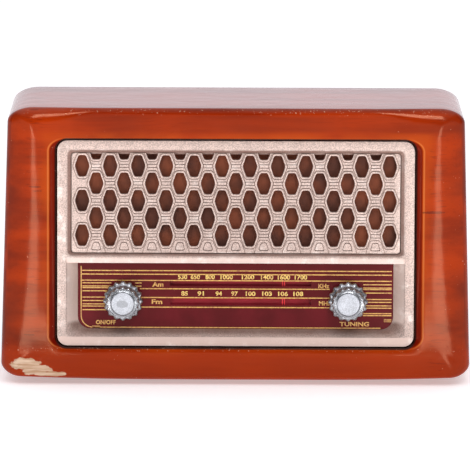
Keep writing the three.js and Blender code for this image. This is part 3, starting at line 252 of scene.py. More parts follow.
def grain_group():
    """Wood figure along X, or along Y on the flanks: broad bands, fine pores and slow changes of tone."""
    light, dark = (0.5, 0.1, 0.02, 1), (0.2, 0.03, 0.01, 1)
    tree, t, source, sink = new_group("wood_figure", {"Stretch": 1.0, "Light": light, "Dark": dark},
                                      {"Colour": light, "Pores": 0.0})
    spot = t.axes()
    flank = t.between(t.size(t.axes(t.surface("Normal"))["X"]), 0.62, 0.72)
    swap = t.times(t.minus(spot["Y"], spot["X"]), flank)
    along, deep = t.plus(spot["X"], swap), t.minus(spot["Y"], swap)
    place = t.add("ShaderNodeCombineXYZ", X=along, Y=deep, Z=spot["Z"]).outputs[0]
    wobble = t.scaled((0.0, 0.012, 0.012), t.noise(9.0, 2.0, at=place))
    wavy = t.vector("ADD", place, wobble)[0]
    bands = t.noise(source["Stretch"], 4.0, 0.55, t.scaled((5.0, 90.0, 90.0), wavy))
    pores = t.noise(source["Stretch"], 2.0, 0.6, t.scaled((45.0, 1500.0, 1500.0), wavy))
    slow = t.noise(14.0, 2.0, at=place)
    level = t.between(t.plus(t.times(bands, 0.6), t.times(slow, 0.4)), 0.34, 0.66)
    streak = t.between(pores, 0.56, 0.72)
    colour = t.mix(level, source["Dark"], source["Light"])
    t.feed(sink["Colour"], t.layers(colour, (streak, 0.35, source["Dark"])))
    t.feed(sink["Pores"], streak)
    return tree


FLAKES = speckle_group()
RUB = mask_group("edge_rub", 0.5, 60.0, convex_edges)
DUST = mask_group("settled_dust", 0.3, 35.0, faces_up)
GRAIN = grain_group()


# ---------------------------------------------------------------- materials
class Paint(Tree):
    """A material's tree; plain values go straight on its shader."""

    def __init__(self, name, **values):
        self.material = bpy.data.materials.new(name)
        self.material.use_nodes = True
        super().__init__(self.material.node_tree)
        self.inputs = self.tree.nodes["Principled BSDF"].inputs
        for label, value in values.items():
            self.feed(self.inputs[label.replace("_", " ")], value)

    def use(self, group, **inputs):
        return self.add("ShaderNodeGroup", {"node_tree": group}, **inputs).outputs

    def mask(self, group, amount, patch):
        return self.use(group, Amount=amount, Patch=patch)["Mask"]

    def oval(self, centre, reach, ragged, grain):
        """A ragged spot: 1 inside, 0 outside."""
        place = self.vector("SUBTRACT", self.place(), centre)[0]
        away = self.vector("LENGTH", self.scaled([1 / r for r in reach], place))["Value"]
        rough = self.times(self.minus(self.noise(grain), 0.5), ragged * 2)
        return self.between(self.plus(away, rough), 1.08, 0.92)

    def done(self, colour, height, strength, distance, rough=None):
        """Feeds the shader its colour, a bump and its roughness, and gives the material."""
        self.feed(self.inputs["Base Color"], colour)
        bump = self.add("ShaderNodeBump", Height=height, Strength=strength, Distance=distance)
        self.feed(self.inputs["Normal"], bump.outputs[0])
        if rough is not None:
            self.feed(self.inputs["Roughness"], rough)
        return self.material


def toned(colour, gain, lift=0.0):
    return [min(1.0, gain * part + lift) for part in colour]


def lacquered_wood():
    """Thick clear lacquer over stained, straight-grained wood, chipped to bare wood at one lower corner.
    Painted shade, painted light and a painted highlight round the opening and on the top bar lie over the
    wood's own colour.
    """
    t = Paint("lacquered_wood", Specular_Tint=(0.9, 0.48, 0.3))
    figure = t.use(GRAIN, Stretch=1.0, Light=(0.35, 0.027, 0.001), Dark=(0.16, 0.009, 0.001))
    spot = t.axes()
    across = t.size(spot["X"])
    aside = t.minus(across, BEZEL_HALF)
    above = t.minus(t.size(t.minus(spot["Z"], BEZEL_MIDDLE)), (BEZEL_HIGH - BEZEL_LOW) / 2)

    def from_corner(wide, tall):
        """Distance out from the opening, where 1 is its rounded outline grown by wide and tall."""
        legs = [t.math("DIVIDE", t.most(t.plus(way, BEZEL_CORNER), 0.0), BEZEL_CORNER + lip)
                for way, lip in ((aside, wide), (above, tall))]
        return t.math("SQRT", t.plus(*(t.times(leg, leg) for leg in legs)))

    cloud = t.noise(1.0, at=t.scaled((26.0, 8.0, 60.0)))
    # Darker towards the outer edges: partly a sunburst toning, partly painted shade where the front rounds away
    # from the lamps.
    flank = t.times(t.between(across, BEZEL_HALF + 0.012, BEZEL_HALF + 0.034), t.between(cloud, 0.3, 0.75))
    # Lighter, warmer orange close to the opening: partly the sunburst's light middle, partly painted light on
    # the front that faces the lamps.
    beside = t.times(t.between(aside, 0.016, 0.006), t.between(above, 0.008, 0.002),
                     t.between(t.noise(34.0, 2.0), 0.3, 0.7))
    foot = t.between(spot["Z"], 0.026, 0.018)
    # Painted shade: a broken dark band across the top bar.
    brow_shade = t.times(t.band(spot["Z"], *BROW_SHADE), t.between(t.noise(22.0), 0.25, 0.7))
    reach = from_corner(SIDE_LIP, BAR_LIP)
    # Painted highlight: a bright line along the crest of the lip on the pillars, fading round the corners.
    crest = t.times(t.band(reach, 0.95, 0.99, 1.02, 1.09), t.between(above, 0.003, -0.002))
    # Painted shade: the lip darkens as it rolls into the opening.
    lip = t.between(reach, 0.97, 0.88)
    # Painted shadow: near black in the narrow gap between the wood and the front panel.
    gap_shadow = t.between(from_corner(2 * REVEAL, 2 * REVEAL), 1.06, 0.96)
    marks = t.most(*(t.oval((x, FRONT, z), (wide, MARK_DEPTH, tall), ragged, grain)
                     for (x, z), (wide, tall), ragged, grain in MARKS))
    short = t.noise(1.0, 2.0, at=t.scaled((110.0, 110.0, 1100.0)))
    ticks = t.times(t.between(short, 0.58, 0.68), t.band(across, *TICKS))
    ledges = t.times(t.most(t.band(spot["Z"], *RIDGE), t.band(spot["Z"], *PANEL_FOOT)),
                     t.between(spot["Y"], FRONT + 0.006, FRONT))
    crumbs = t.most(t.between(t.noise(620.0, 2.0, 0.7), 0.735, 0.76),
                    t.times(t.between(t.noise(700.0, 3.0, 0.6), 0.64, 0.67), ledges))
    chip = t.most(*(t.oval(centre, size, 0.55, 260.0) for centre, size in CHIP))
    fibres = t.noise(1.0, at=t.scaled((60, 700, 700)))
    raw = t.clouded(fibres, (0.54, 0.33, 0.20), (0.78, 0.58, 0.42), 0.35, 0.65)
    dust = t.mask(DUST, 0.07, 40.0)
    colour = t.layers(
        figure["Colour"],
        (flank, 0.75, (0.11, 0.013, 0.007)),
        (beside, 0.75, (0.38, 0.046, 0.002)),
        (foot, 0.5, (0.42, 0.030, 0.001)),
        (brow_shade, 0.5, (0.13, 0.010, 0.003)),
        (crest, 0.6, (0.56, 0.15, 0.030)),
        (lip, 0.9, (0.120, 0.003, 0.001)),
        (gap_shadow, 0.9, (0.012, 0.002, 0.001)),
        (marks, 0.6, (0.07, 0.008, 0.006)),
        (ticks, 0.45, (0.12, 0.010, 0.004)),
        (crumbs, 0.6, (0.72, 0.42, 0.28)),
        (t.mask(RUB, 0.8, 90.0), 1.0, (0.75, 0.45, 0.30)),
        (chip, 1.0, raw),
        (dust, 1.0, (0.6, 0.5, 0.46)))
    t.feed(t.inputs["Specular IOR Level"], t.minus(0.36, t.times(t.between(reach, 0.99, 0.93), 0.26)))
    gloss = t.plus(t.varied(0.085, t.noise(55.0, 4.0), 0.06), t.times(dust, 0.5))
    gloss = t.math("ADD", gloss, t.times(chip, 0.65), True)
    sag = t.plus(t.noise(48.0, 2.0), t.times(figure["Pores"], -0.03), t.times(chip, -0.6))
    return t.done(colour, sag, 0.22, 0.0011, gloss)


def bare_wood():
    t = Paint("bare_wood", Roughness=0.75)
    figure = t.use(GRAIN, Stretch=1.3, Light=(0.62, 0.42, 0.25), Dark=(0.40, 0.24, 0.12))
    return t.done(figure["Colour"], figure["Pores"], 0.3, 0.0004)


def champagne(name, front, shade_depths, amount, wall_depths=None):
    """Pale rose-gold metallic paint. Painted shade darkens what lies between two depths behind the front; with
    wall depths, painted shade also darkens the walls round the grille, and painted light makes the dial well's
    sides and the foot of the rim paler."""
    t = Paint(name, Metallic=0.35)
    flakes = t.use(FLAKES, Grain=1500.0, Colour=(0.52, 0.395, 0.345), Depth=0.30)
    spot = t.axes()
    # Painted shade: darker the deeper a surface lies behind the front.
    recess_shade = t.times(t.between(spot["Y"], *(front + depth for depth in shade_depths)), amount)
    paint = flakes["Colour"]
    if wall_depths:
        walls = t.between(spot["Y"], *(front + depth for depth in wall_depths))
        foot, sides, _, divider = DIAL_WELL
        # Painted shade on the panel's walls round the grille.
        grille_wall_shade = t.times(t.between(spot["Z"], divider, divider + 0.0008), walls, 0.72)
        # With walls, the depth shade is kept low, below the dial well's sides, and joined by the painted shade
        # round the grille.
        recess_shade = t.most(t.times(recess_shade, t.between(spot["Z"], sides, foot)), grille_wall_shade)
        # Painted light: the dial well's side slopes made paler, standing in for the bright reflections they
        # catch.
        dial_side_light = t.times(t.band(spot["Z"], *DIAL_WELL), walls)
        # Painted light: the foot of the rim made paler, standing in for a low fill light.
        rim_foot_light = t.between(spot["Z"], BEZEL_LOW + 0.0057, BEZEL_LOW + 0.0050)
        paint = t.layers(paint, (dial_side_light, 0.8, (0.76, 0.61, 0.54)), (rim_foot_light, 0.9, (0.70, 0.53, 0.46)))
    colour = t.layers(paint, (t.mask(RUB, 0.55, 120.0), 1.0, (0.93, 0.84, 0.78)),
                      (recess_shade, 1.0, (0.16, 0.066, 0.042)), (t.mask(DUST, 0.25, 60.0), 1.0, (0.62, 0.55, 0.50)))
    return t.done(colour, flakes["Height"], 0.35, 0.0002, t.varied(0.36, t.noise(700.0), 0.16))


def dial_paint(name, lift):
    """Glossy maroon print behind a clear gloss coat; lift lightens what lies in the windows' shade."""
    t = Paint(name, Specular_IOR_Level=0.24, Specular_Tint=(1, 0.5, 0.45))
    maroon = t.clouded(t.noise(70.0), *(toned(part, lift) for part in ((0.092, 0.006, 0.009),
                                                                       (0.125, 0.008, 0.013))))
    # Painted reflection: the upper part of the dial turns browner, standing in for the bar above reflected in
    # its gloss.
    upper = t.between(t.axes()["Z"], 0.045, 0.072)
    return t.done(t.layers(maroon, (upper, 0.35, (0.085, 0.012, 0.010))), t.noise(160.0, 2.0), 0.12, 0.0004,
                  t.varied(0.14, t.noise(300.0), 0.12))


def dial_gold(name, colour):
    t = Paint(name, Metallic=0.15, Roughness=0.38)
    worn = t.clouded(t.noise(900.0, 3.0, 0.6), (0.42, 0.16, 0.07), colour, 0.25, 0.6)
    return t.done(worn, t.noise(2200.0), 0.15, 0.0001)


def speaker_cloth_weave():
    """A coarse brown weave that reads the piece's own map."""
    t = Paint("speaker_cloth", Roughness=0.9, Sheen_Weight=0.25, Sheen_Roughness=0.5)
    weave = t.axes(t.add("ShaderNodeUVMap", {"uv_map": "weave"}).outputs[0])
    thread = t.times(*(t.ripple(weave[way], 2400) for way in "XY"))
    dyed = t.clouded(t.noise(45.0), (0.050, 0.014, 0.010), (0.24, 0.055, 0.020), 0.35, 0.68)
    return t.done(t.layers(dyed, (thread, 0.5, (0.30, 0.085, 0.035))), thread, 0.6, 0.0002)


def cast_silver(name, colour, grain, metallic, rough, depth=0.28, smear=0.0):
    """Cast and plated metal; smear leaves a dull thumb mark in the middle of the left-hand knob."""
    t = Paint(name, Metallic=metallic)
    flakes = t.use(FLAKES, Grain=grain, Colour=colour, Depth=depth)
    tone = t.mix(t.mask(RUB, 0.6, 150.0), flakes["Colour"], toned(colour, 1.5))
    if smear:
        thumb = t.oval(KNOBS["volume"], (0.0036, 0.02, 0.0024), 0.6, 300.0)
        tone = t.layers(tone, (thumb, smear, (0.28, 0.29, 0.31)))
    return t.done(tone, flakes["Height"], 0.4, 0.0002, t.varied(rough, t.noise(600.0), 0.14))


def plain_metal(name, colour, rough, streak):
    """Sheet or turned metal with drawing marks along one axis."""
    t = Paint(name, Metallic=0.95)
    marks = t.noise(1.0, at=t.scaled(streak))
    tone = t.clouded(t.noise(40.0, 4.0), toned(colour, 0.7), colour, 0.35)
    return t.done(t.mix(t.mask(RUB, 0.6, 80.0), tone, (0.9, 0.9, 0.9)), marks, 0.2, 0.0002,
                  t.varied(rough, marks, 0.2))


def moulded(name, colour, rough=0.45):
    """Moulded plastic with a fine spark-eroded texture."""
    t = Paint(name)
    grain = t.noise(1300.0, 2.0)
    tone = t.clouded(t.noise(60.0), colour, toned(colour, 1.25, 0.01))
    return t.done(t.mix(t.mask(DUST, 0.35, 70.0), tone, (0.42, 0.39, 0.36)), grain, 0.3, 0.0002,
                  t.varied(rough, grain, 0.15))


def fibre_board(name, light, dark):
    """Pressed fibre: short dark hairs in a brown sheet."""
    t = Paint(name, Roughness=0.82)
    hairs = t.noise(1.0, 5.0, 0.7, t.scaled((420.0, 900.0, 260.0)))
    tone = t.clouded(t.noise(22.0), light, dark)
    return t.done(t.clouded(hairs, tone, toned(dark, 0.45), 0.5, 0.68), hairs, 0.35, 0.0003)


def wound_copper():
    """Fine enamelled wire laid side by side along X."""
    t = Paint("wound_copper", Metallic=0.8, Roughness=0.32)
    turns = t.ripple(t.axes()["X"], 1600)
    return t.done(t.mix(turns, (0.22, 0.05, 0.02), (0.78, 0.34, 0.14)), turns, 0.8, 0.0003)


WOOD = lacquered_wood()
RAW = bare_wood()
# The front panel's paint, with painted shade in its recesses and round the grille and painted light on the dial
# well's sides and the rim's foot.
CHAMPAGNE = champagne("champagne_paint", FRONT, (0.0030, 0.0080), 0.62, (0.0028, 0.0034))
# Painted shade darkens the grille's holes, outlines and grooves, which lie behind its face.
GRILLE_PAINT = champagne("grille_paint", GRILLE_FRONT, (0.0004, 0.0012), 0.85)
DIAL = dial_paint("dial_paint", 1.0)
# Painted light: the backing behind the dial's windows is the dial's maroon made 4.4 times lighter, against the
# shade it lies in.
LIT_BACKING = dial_paint("backing_paint", 4.4)
GOLD = dial_gold("dial_gold", (0.76, 0.45, 0.11))
YELLOW = dial_gold("dial_yellow", (0.88, 0.64, 0.17))
CLOTH = speaker_cloth_weave()
SILVER = cast_silver("die_cast_silver", (0.34, 0.35, 0.37), 1600.0, 0.9, 0.2)
INLAY = cast_silver("satin_inlay", (0.53, 0.55, 0.59), 1900.0, 0.3, 0.4, 0.25, 0.6)
ZINC = plain_metal("zinc_plate", (0.55, 0.56, 0.57), 0.3, (30.0, 900.0, 900.0))
BRASS = plain_metal("turned_brass", (0.72, 0.52, 0.22), 0.22, (900.0, 40.0, 900.0))
ALUMINIUM = plain_metal("bare_aluminium", (0.78, 0.79, 0.80), 0.28, (40.0, 700.0, 700.0))
BLACK = moulded("black_plastic", (0.016, 0.016, 0.017))
CREAM = moulded("cream_plastic", (0.66, 0.58, 0.43), 0.38)
RED = moulded("needle_red", (0.95, 0.02, 0.03), 0.3)
RUBBER = moulded("foot_rubber", (0.022, 0.021, 0.020), 0.75)
PULP = fibre_board("cone_pulp", (0.075, 0.068, 0.06), (0.035, 0.03, 0.027))
HARDBOARD = fibre_board("rear_hardboard", (0.19, 0.105, 0.055), (0.12, 0.062, 0.032))
PHENOLIC = fibre_board("phenolic_board", (0.36, 0.19, 0.07), (0.24, 0.115, 0.04))
FERRITE = moulded("grey_ferrite", (0.055, 0.052, 0.05), 0.6)
COPPER = wound_copper()
WAXED = fibre_board("waxed_cord", (0.70, 0.62, 0.45), (0.52, 0.44, 0.30))


# ---------------------------------------------------------------- making pieces
HARD_EDGE = math.radians(30)


def link(name, mesh):
    piece = bpy.data.objects.new(name, mesh)
    bpy.context.scene.collection.objects.link(piece)
    return piece


def mesh_piece(name, points, faces, material):
    mesh = bpy.data.meshes.new(name)
    mesh.from_pydata([tuple(p) for p in points], [], faces)
    mesh.validate()
    piece = link(name, mesh)
    mesh.materials.append(material)
    return piece


def smooth(piece, angle=32):
    piece.data.polygons.foreach_set("use_smooth", [True] * len(piece.data.polygons))
    piece.data.set_sharp_from_angle(angle=math.radians(angle))


def settle(piece, body, slot, *nodes):
    """The piece rides on its body and stands for its nodes. Its slot is not used."""
    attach(piece, body)
    if nodes:
        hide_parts(*nodes)
    return piece


def skin(rings, closed):
    """Points and faces through rings of equally many points; an open skin gets a flat end at each end."""
    count = len(rings[0])
    points = [p for ring in rings for p in ring]
    faces = []
    spans = len(rings) if closed else len(rings) - 1
    for r in range(spans):
        here, there = r * count, ((r + 1) % len(rings)) * count
        for i in range(count):
            j = (i + 1) % count
            faces.append((here + i, here + j, there + j, there + i))
    if not closed:
        faces.append(tuple(range(count - 1, -1, -1)))
        faces.append(tuple((len(rings) - 1) * count + i for i in range(count)))
    return points, faces


def tidy_normals(piece):
    """Doubled points are merged, then all faces are turned outwards."""
    work = bmesh.new()
    work.from_mesh(piece.data)
    bmesh.ops.remove_doubles(work, verts=work.verts, dist=1e-7)
    bmesh.ops.recalc_face_normals(work, faces=work.faces)
    work.to_mesh(piece.data)
    work.free()


def gather(name, parts, material):
    """One piece of several sets of points and faces."""
    points, faces = [], []
    for new_points, new_faces in parts:
        faces += [tuple(len(points) + i for i in face) for face in new_faces]
        points += new_points
    piece = mesh_piece(name, points, faces, material)
    tidy_normals(piece)
    return piece


def rounded_copy(node, name, material, width, segments):
    """A copy of a CAD node with its triangles joined into flat faces and its hard edges rounded."""
    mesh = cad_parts[node].data.copy()
    mesh.name = name
    work = bmesh.new()
    work.from_mesh(mesh)
    bmesh.ops.remove_doubles(work, verts=work.verts, dist=2e-6)
    bmesh.ops.dissolve_limit(work, angle_limit=math.radians(1.5), verts=work.verts, edges=work.edges)
    hard = [e for e in work.edges if len(e.link_faces) == 2 and e.calc_face_angle() > HARD_EDGE]
    bmesh.ops.bevel(work, geom=hard, offset=width, segments=segments, profile=0.5, affect="EDGES",
                    clamp_overlap=True)
    bmesh.ops.remove_doubles(work, verts=work.verts, dist=1e-6)
    bmesh.ops.triangulate(work, faces=[f for f in work.faces if len(f.verts) > 4])
    work.to_mesh(mesh)
    work.free()
    mesh.materials.clear()
    mesh.materials.append(material)
    piece = link(name, mesh)
    smooth(piece)
    return piece


def turned(name, profile, centre, material, segments, radius_at=None):
    """A piece turned about a line along Y: profile holds (radius, depth) from axis to axis."""
    rings = []
    for step, (radius, depth) in enumerate(profile):
        ring = []
        for i in range(segments):
            turn = 2 * math.pi * i / segments
            r = radius_at(step, turn) if radius_at else radius
            ring.append((centre.x + r * math.cos(turn), depth, centre.z + r * math.sin(turn)))
        rings.append(ring)
    piece = gather(name, [skin(rings, False)], material)
    smooth(piece)
    return piece


def bake(piece, name):
    """The piece's evaluated mesh as a new plain piece; the maker and its modifiers go."""
    depsgraph = bpy.context.evaluated_depsgraph_get()
    mesh = bpy.data.meshes.new_from_object(piece.evaluated_get(depsgraph))
    mesh.name = name
    done = link(name, mesh)
    bpy.data.objects.remove(piece)
    return done


# ---------------------------------------------------------------- geometry trees
class Growth(Tree):
    """A geometry node tree with named inputs, built call by call."""

    def __init__(self, name, inputs):
        super().__init__(bpy.data.node_groups.new(name, "GeometryNodeTree"))
        for label, kind in {"Geometry": "Geometry", **inputs}.items():
            self.tree.interface.new_socket(label, in_out="INPUT", socket_type="NodeSocket" + kind)
        self.tree.interface.new_socket("Geometry", in_out="OUTPUT", socket_type="NodeSocketGeometry")
        self.source = self.add("NodeGroupInput").outputs
        self.sink = self.add("NodeGroupOutput").inputs

    def join(self, *parts):
        node = self.add("GeometryNodeJoinGeometry")
        for part in reversed(parts):
            self.tree.links.new(part, node.inputs[0])
        return node.outputs[0]

    def copies(self, points, pattern):
        """The mesh of an object, placed at points and made real."""
        source = self.add("GeometryNodeObjectInfo", {"transform_space": "ORIGINAL"}, Object=pattern)
        placed = self.add("GeometryNodeInstanceOnPoints", Points=points, Instance=source.outputs["Geometry"])
        return self.add("GeometryNodeRealizeInstances", Geometry=placed.outputs[0]).outputs[0]

    def finish(self, geometry, material):
        real = self.add("GeometryNodeRealizeInstances", Geometry=geometry)
        painted = self.add("GeometryNodeSetMaterial", Geometry=real.outputs[0], Material=material)
        self.feed(self.sink[0], painted.outputs[0])

    def grow(self, piece, name, **values):
        """Runs the tree on a piece with values by input name, and returns the plain result."""
        modifier = piece.modifiers.new("growth", "NODES")
        modifier.node_group = self.tree
        for item in self.tree.interface.items_tree:
            label = item.name.replace(" ", "_")
            if item.in_out == "INPUT" and label in values:
                modifier[item.identifier] = values[label]
        return bake(piece, name)


def staggered_tree():
    """Rows of holes across a plate, every other row shifted by half a pitch and one shorter.

    The pattern runs one row past the plate's holes at the top, where it still goes through, and at
    the foot, where it is only drawn."""
    inputs = dict.fromkeys(("Hole", "Outline", "Blind", "Groove", "Rim"), "Object")
    g = Growth("staggered_perforation", {**inputs, "Columns": "Int", "Rows": "Int", "Pitch": "Float",
                                         "Row Pitch": "Float", "Centre": "Vector", "Material": "Material"})
    s = g.source

    def rows(row_more, flip, dropped=None):
        lines = g.plus(s["Rows"], row_more)
        wide = g.times(g.minus(s["Columns"], 1.0), s["Pitch"])
        tall = g.times(g.minus(lines, 1.0), s["Row Pitch"])
        grid = g.add("GeometryNodeMeshGrid", Size_X=wide, Size_Y=tall, Vertices_X=s["Columns"],
                     Vertices_Y=lines)
        index = g.add("GeometryNodeInputIndex").outputs[0]
        row = g.math("MODULO", index, lines)
        column = g.math("FLOOR", g.math("DIVIDE", g.plus(index, 0.01), lines))
        odd = g.size(g.minus(flip, g.math("MODULO", row, 2.0)))
        gone = g.times(odd, g.math("GREATER_THAN", column, g.minus(s["Columns"], 1.5)))
        if dropped:
            gone = g.most(gone, dropped(row, lines))
        shift = g.add("ShaderNodeCombineXYZ", X=g.times(odd, s["Pitch"], 0.5))
        moved = g.add("GeometryNodeSetPosition", Geometry=grid.outputs[0], Offset=shift.outputs[0])
        kept = g.add("GeometryNodeDeleteGeometry", {"domain": "POINT"}, Geometry=moved.outputs[0],
                     Selection=g.math("GREATER_THAN", gone, 0.5))
        points = g.add("GeometryNodeMeshToPoints", Mesh=kept.outputs[0])
        stood = g.add("GeometryNodeTransform", Geometry=points.outputs[0], Translation=s["Centre"],
                      Rotation=(math.pi / 2, 0, 0))
        return stood.outputs[0]

    holes = rows(0.0, 0.0)
    drops = (
        ("Hole", lambda row, lines: g.math("LESS_THAN", row, g.minus(lines, 1.5))),
        ("Outline", lambda row, lines: g.math("MODULO", row, 2.0)),
        ("Outline", lambda row, lines: g.minus(1.0, g.math("MODULO", row, 2.0))),
        ("Blind", lambda row, lines: g.math("GREATER_THAN", row, 0.5)),
    )
    cuts = [("Hole", holes)] + [(tool, rows(2.0, 1.0, dropped)) for tool, dropped in drops]
    cut = g.add("GeometryNodeMeshBoolean", {"operation": "DIFFERENCE", "solver": "MANIFOLD"},
                Mesh_1=s["Geometry"])
    for tool, points in cuts + [("Groove", holes)]:
        g.tree.links.new(g.copies(points, s[tool]), cut.inputs["Mesh 2"])
    g.finish(g.join(cut.outputs["Mesh"], g.copies(holes, s["Rim"])), s["Material"])
    return g


def scatter_tree():
    """A pattern at each point of a mesh."""
    g = Growth("fasteners", {"Pattern": "Object", "Material": "Material"})
    points = g.add("GeometryNodeMeshToPoints", Mesh=g.source["Geometry"])
    g.finish(g.copies(points.outputs[0], g.source["Pattern"]), g.source["Material"])
    return g


# ---------------------------------------------------------------- cabinet
SIDE_LEAN = 4.5 * MM
TOP_CORNER = (16 * MM, 9 * MM)
FOOT_CORNER = (12 * MM, 10 * MM)
CABINET_HALF = 140 * MM
UNDERSIDE_RISE = 2 * MM
UNDERSIDE_FLAT = 45 * MM
PILLAR_ROUND = (23 * MM, 9 * MM)
BAR_ROUND = (4 * MM, 4 * MM)
SHOULDER_START = 84 * MM
SHOULDER_END = 124 * MM
SHOULDER_SHARE = 0.5
LEDGE = 3.5 * MM
SEAT = 6.8 * MM
FRONT_WALL = 14 * MM
WALL = 9 * MM
REBATE = 4 * MM
COVER_SEAT = low("rear_cover").y - 0.3 * MM
BACK_EDGE = 1.5 * MM
CHIP_DEPTH = 0.35 * MM
CHIP_WAVES = (2600, 3100)
ARC_STEPS = 16
EDGE_STEPS = (20, 36, 20, 40)
BACK_STEPS = 4
SIDE_STEPS = 10
ROUND_STEPS = 18
FACE_STEPS = 4
LIP_STEPS = 6


def mix(a, b, t):
    return a + (b - a) * t


def ease(t):
    return t * t * (3 - 2 * t)


def cabinet_outline(half, bottom, top, top_corner, foot_corner):
    """Points (x, z, side) anticlockwise from the lower right corner; side is 1 on the flanks."""
    corners = [
        (half - foot_corner[0], bottom + foot_corner[1], foot_corner, -90, lambda t: t),
        (half - top_corner[0], top - top_corner[1], top_corner, 0, lambda t: 1 - t),
        (top_corner[0] - half, top - top_corner[1], top_corner, 90, lambda t: t),
        (foot_corner[0] - half, bottom + foot_corner[1], foot_corner, 180, lambda t: 1 - t),
    ]

    def arc(corner, t):
        x, z, reach, start, side = corner
        turn = math.radians(start + 90 * t)
        return (x + reach[0] * math.cos(turn), z + reach[1] * math.sin(turn), ease(side(t)))

    points = []
    for n, corner in enumerate(corners):
        points += [arc(corner, i / ARC_STEPS) for i in range(ARC_STEPS + 1)]
        start, end = arc(corner, 1), arc(corners[(n + 1) % 4], 0)
        for i in range(1, EDGE_STEPS[n]):
            t = i / EDGE_STEPS[n]
            points.append((mix(start[0], end[0], t), mix(start[1], end[1], t), start[2]))
    return points


def cabinet_section(inset):
    half = CABINET_HALF - inset
    reach = [tuple(max(r - inset, 2 * MM) for r in corner) for corner in (TOP_CORNER, FOOT_CORNER)]
    section = []
    for x, z, side in cabinet_outline(half, CABINET_LOW + inset, CABINET_HIGH - inset, *reach):
        out = max(abs(x) - UNDERSIDE_FLAT, 0) / (half - UNDERSIDE_FLAT)
        near = max(0, 1 - (z - CABINET_LOW - inset) / FOOT_CORNER[1])
        rise = UNDERSIDE_RISE * out * out * near if inset < WALL - REBATE else 0
        lean = 1 - SIDE_LEAN / CABINET_HALF * (z - CABINET_LOW) / CABINET_HEIGHT
        section.append((x * lean, z + rise, side))
    return section


def bezel_opening(wide, tall):
    corner = (BEZEL_CORNER + wide, BEZEL_CORNER + tall)
    return cabinet_outline(BEZEL_HALF + wide, BEZEL_LOW - tall, BEZEL_HIGH + tall, corner, corner)


def quarter(steps):
    """Pairs (sine, one minus cosine) along a quarter turn, from its start on."""
    turns = [math.pi / 2 * step / steps for step in range(steps + 1)]
    return [(math.sin(turn), 1 - math.cos(turn)) for turn in turns]


def front_rounding(outer, crest, sine, rest):
    """One ring of the front's round-over: wide on the pillars, narrow on the bars, wider at the shoulders."""
    line = []
    for (ox, oz, side), (cx, cz, _) in zip(outer, crest):
        run = math.hypot(cx - ox, cz - oz)
        if oz > BEZEL_MIDDLE:
            out = (abs(ox) - SHOULDER_START) / (SHOULDER_END - SHOULDER_START)
            side = max(side, SHOULDER_SHARE * ease(min(max(out, 0), 1)))
        across = min(mix(BAR_ROUND[0], PILLAR_ROUND[0], side), run - MM)
        deep = mix(BAR_ROUND[1], PILLAR_ROUND[1], side)
        share = across * rest / run
        line.append(Vector((mix(ox, cx, share), FRONT + deep * (1 - sine), mix(oz, cz, share))))
    return line


def cabinet_rings():
    def ring(section, y):
        return [Vector((x, y, z)) for x, z, _ in section]

    outer, crest = cabinet_section(0), bezel_opening(SIDE_LIP, BAR_LIP)
    mouth, throat = bezel_opening(REVEAL, REVEAL), bezel_opening(-LEDGE, -LEDGE)
    cavity, rebate = cabinet_section(WALL), cabinet_section(WALL - REBATE)
    rings = [ring(cabinet_section(BACK_EDGE * (1 - sine)), BACK - BACK_EDGE * rest)
             for sine, rest in quarter(BACK_STEPS)]
    rings += [ring(outer, mix(BACK - BACK_EDGE, FRONT + PILLAR_ROUND[1], step / SIDE_STEPS))
              for step in range(1, SIDE_STEPS)]
    rings += [front_rounding(outer, crest, sine, rest) for sine, rest in quarter(ROUND_STEPS)]
    last, face = rings[-1], ring(crest, FRONT)
    rings += [[a.lerp(b, step / FACE_STEPS) for a, b in zip(last, face)] for step in range(1, FACE_STEPS + 1)]
    for sine, rest in quarter(LIP_STEPS)[1:]:
        y = FRONT + BEZEL_SINK * rest
        rings.append([Vector((mix(c[0], m[0], sine), y, mix(c[1], m[1], sine)))
                      for c, m in zip(crest, mouth)])
    inside = ((mouth, FRONT + SEAT), (throat, FRONT + SEAT), (throat, FRONT + FRONT_WALL),
              (cavity, FRONT + FRONT_WALL), (cavity, COVER_SEAT), (rebate, COVER_SEAT), (rebate, BACK))
    return rings + [ring(section, y) for section, y in inside]


def chip_wood(piece):
    """The chipped corner sits a little below the lacquer, with a ragged rim."""
    for vertex in piece.data.vertices:
        p = vertex.co
        away = min(math.sqrt(sum(((p[k] - centre[k]) / reach[k]) ** 2 for k in range(3)))
                   for centre, reach in CHIP)
        if away < 1.0:
            ragged = 0.5 + 0.5 * math.sin(p.x * CHIP_WAVES[0]) * math.sin(p.z * CHIP_WAVES[1])
            vertex.co -= vertex.normal * (CHIP_DEPTH * min(1, 3 * (1 - away)) * (0.6 + 0.4 * ragged))


def cabinet():
    piece = gather("cabinet", [skin(cabinet_rings(), True)], WOOD)
    chip_wood(piece)
    smooth(piece, 40)
    return settle(piece, "cabinet", "lacquered_wood", "cabinet_shell")


# ---------------------------------------------------------------- grille and cloth
GRILLE_MIDDLE = middle("speaker_grille")
GRILLE_HIGH = high("speaker_grille")
HOLE_PITCH = 16.6 * MM
ROW_PITCH = 10.4 * MM
GRILLE_ROWS = 5
GRILLE_COLUMNS = 12
TOP_ROW = GRILLE_HIGH.z - 7.9 * MM
HOLE = {"half": 4.1 * MM, "shoulder": 0.9 * MM, "flat": 2.2 * MM, "tall": 6.4 * MM}
FACE_SINK = 0.35 * MM


def softened(line):
    """A closed outline with its corners cut twice over."""
    for _ in range(2):
        line = [(mix(a[0], b[0], share), mix(a[1], b[1], share))
                for a, b in zip(line, line[1:] + line[:1]) for share in (0.13, 0.87)]
    return line


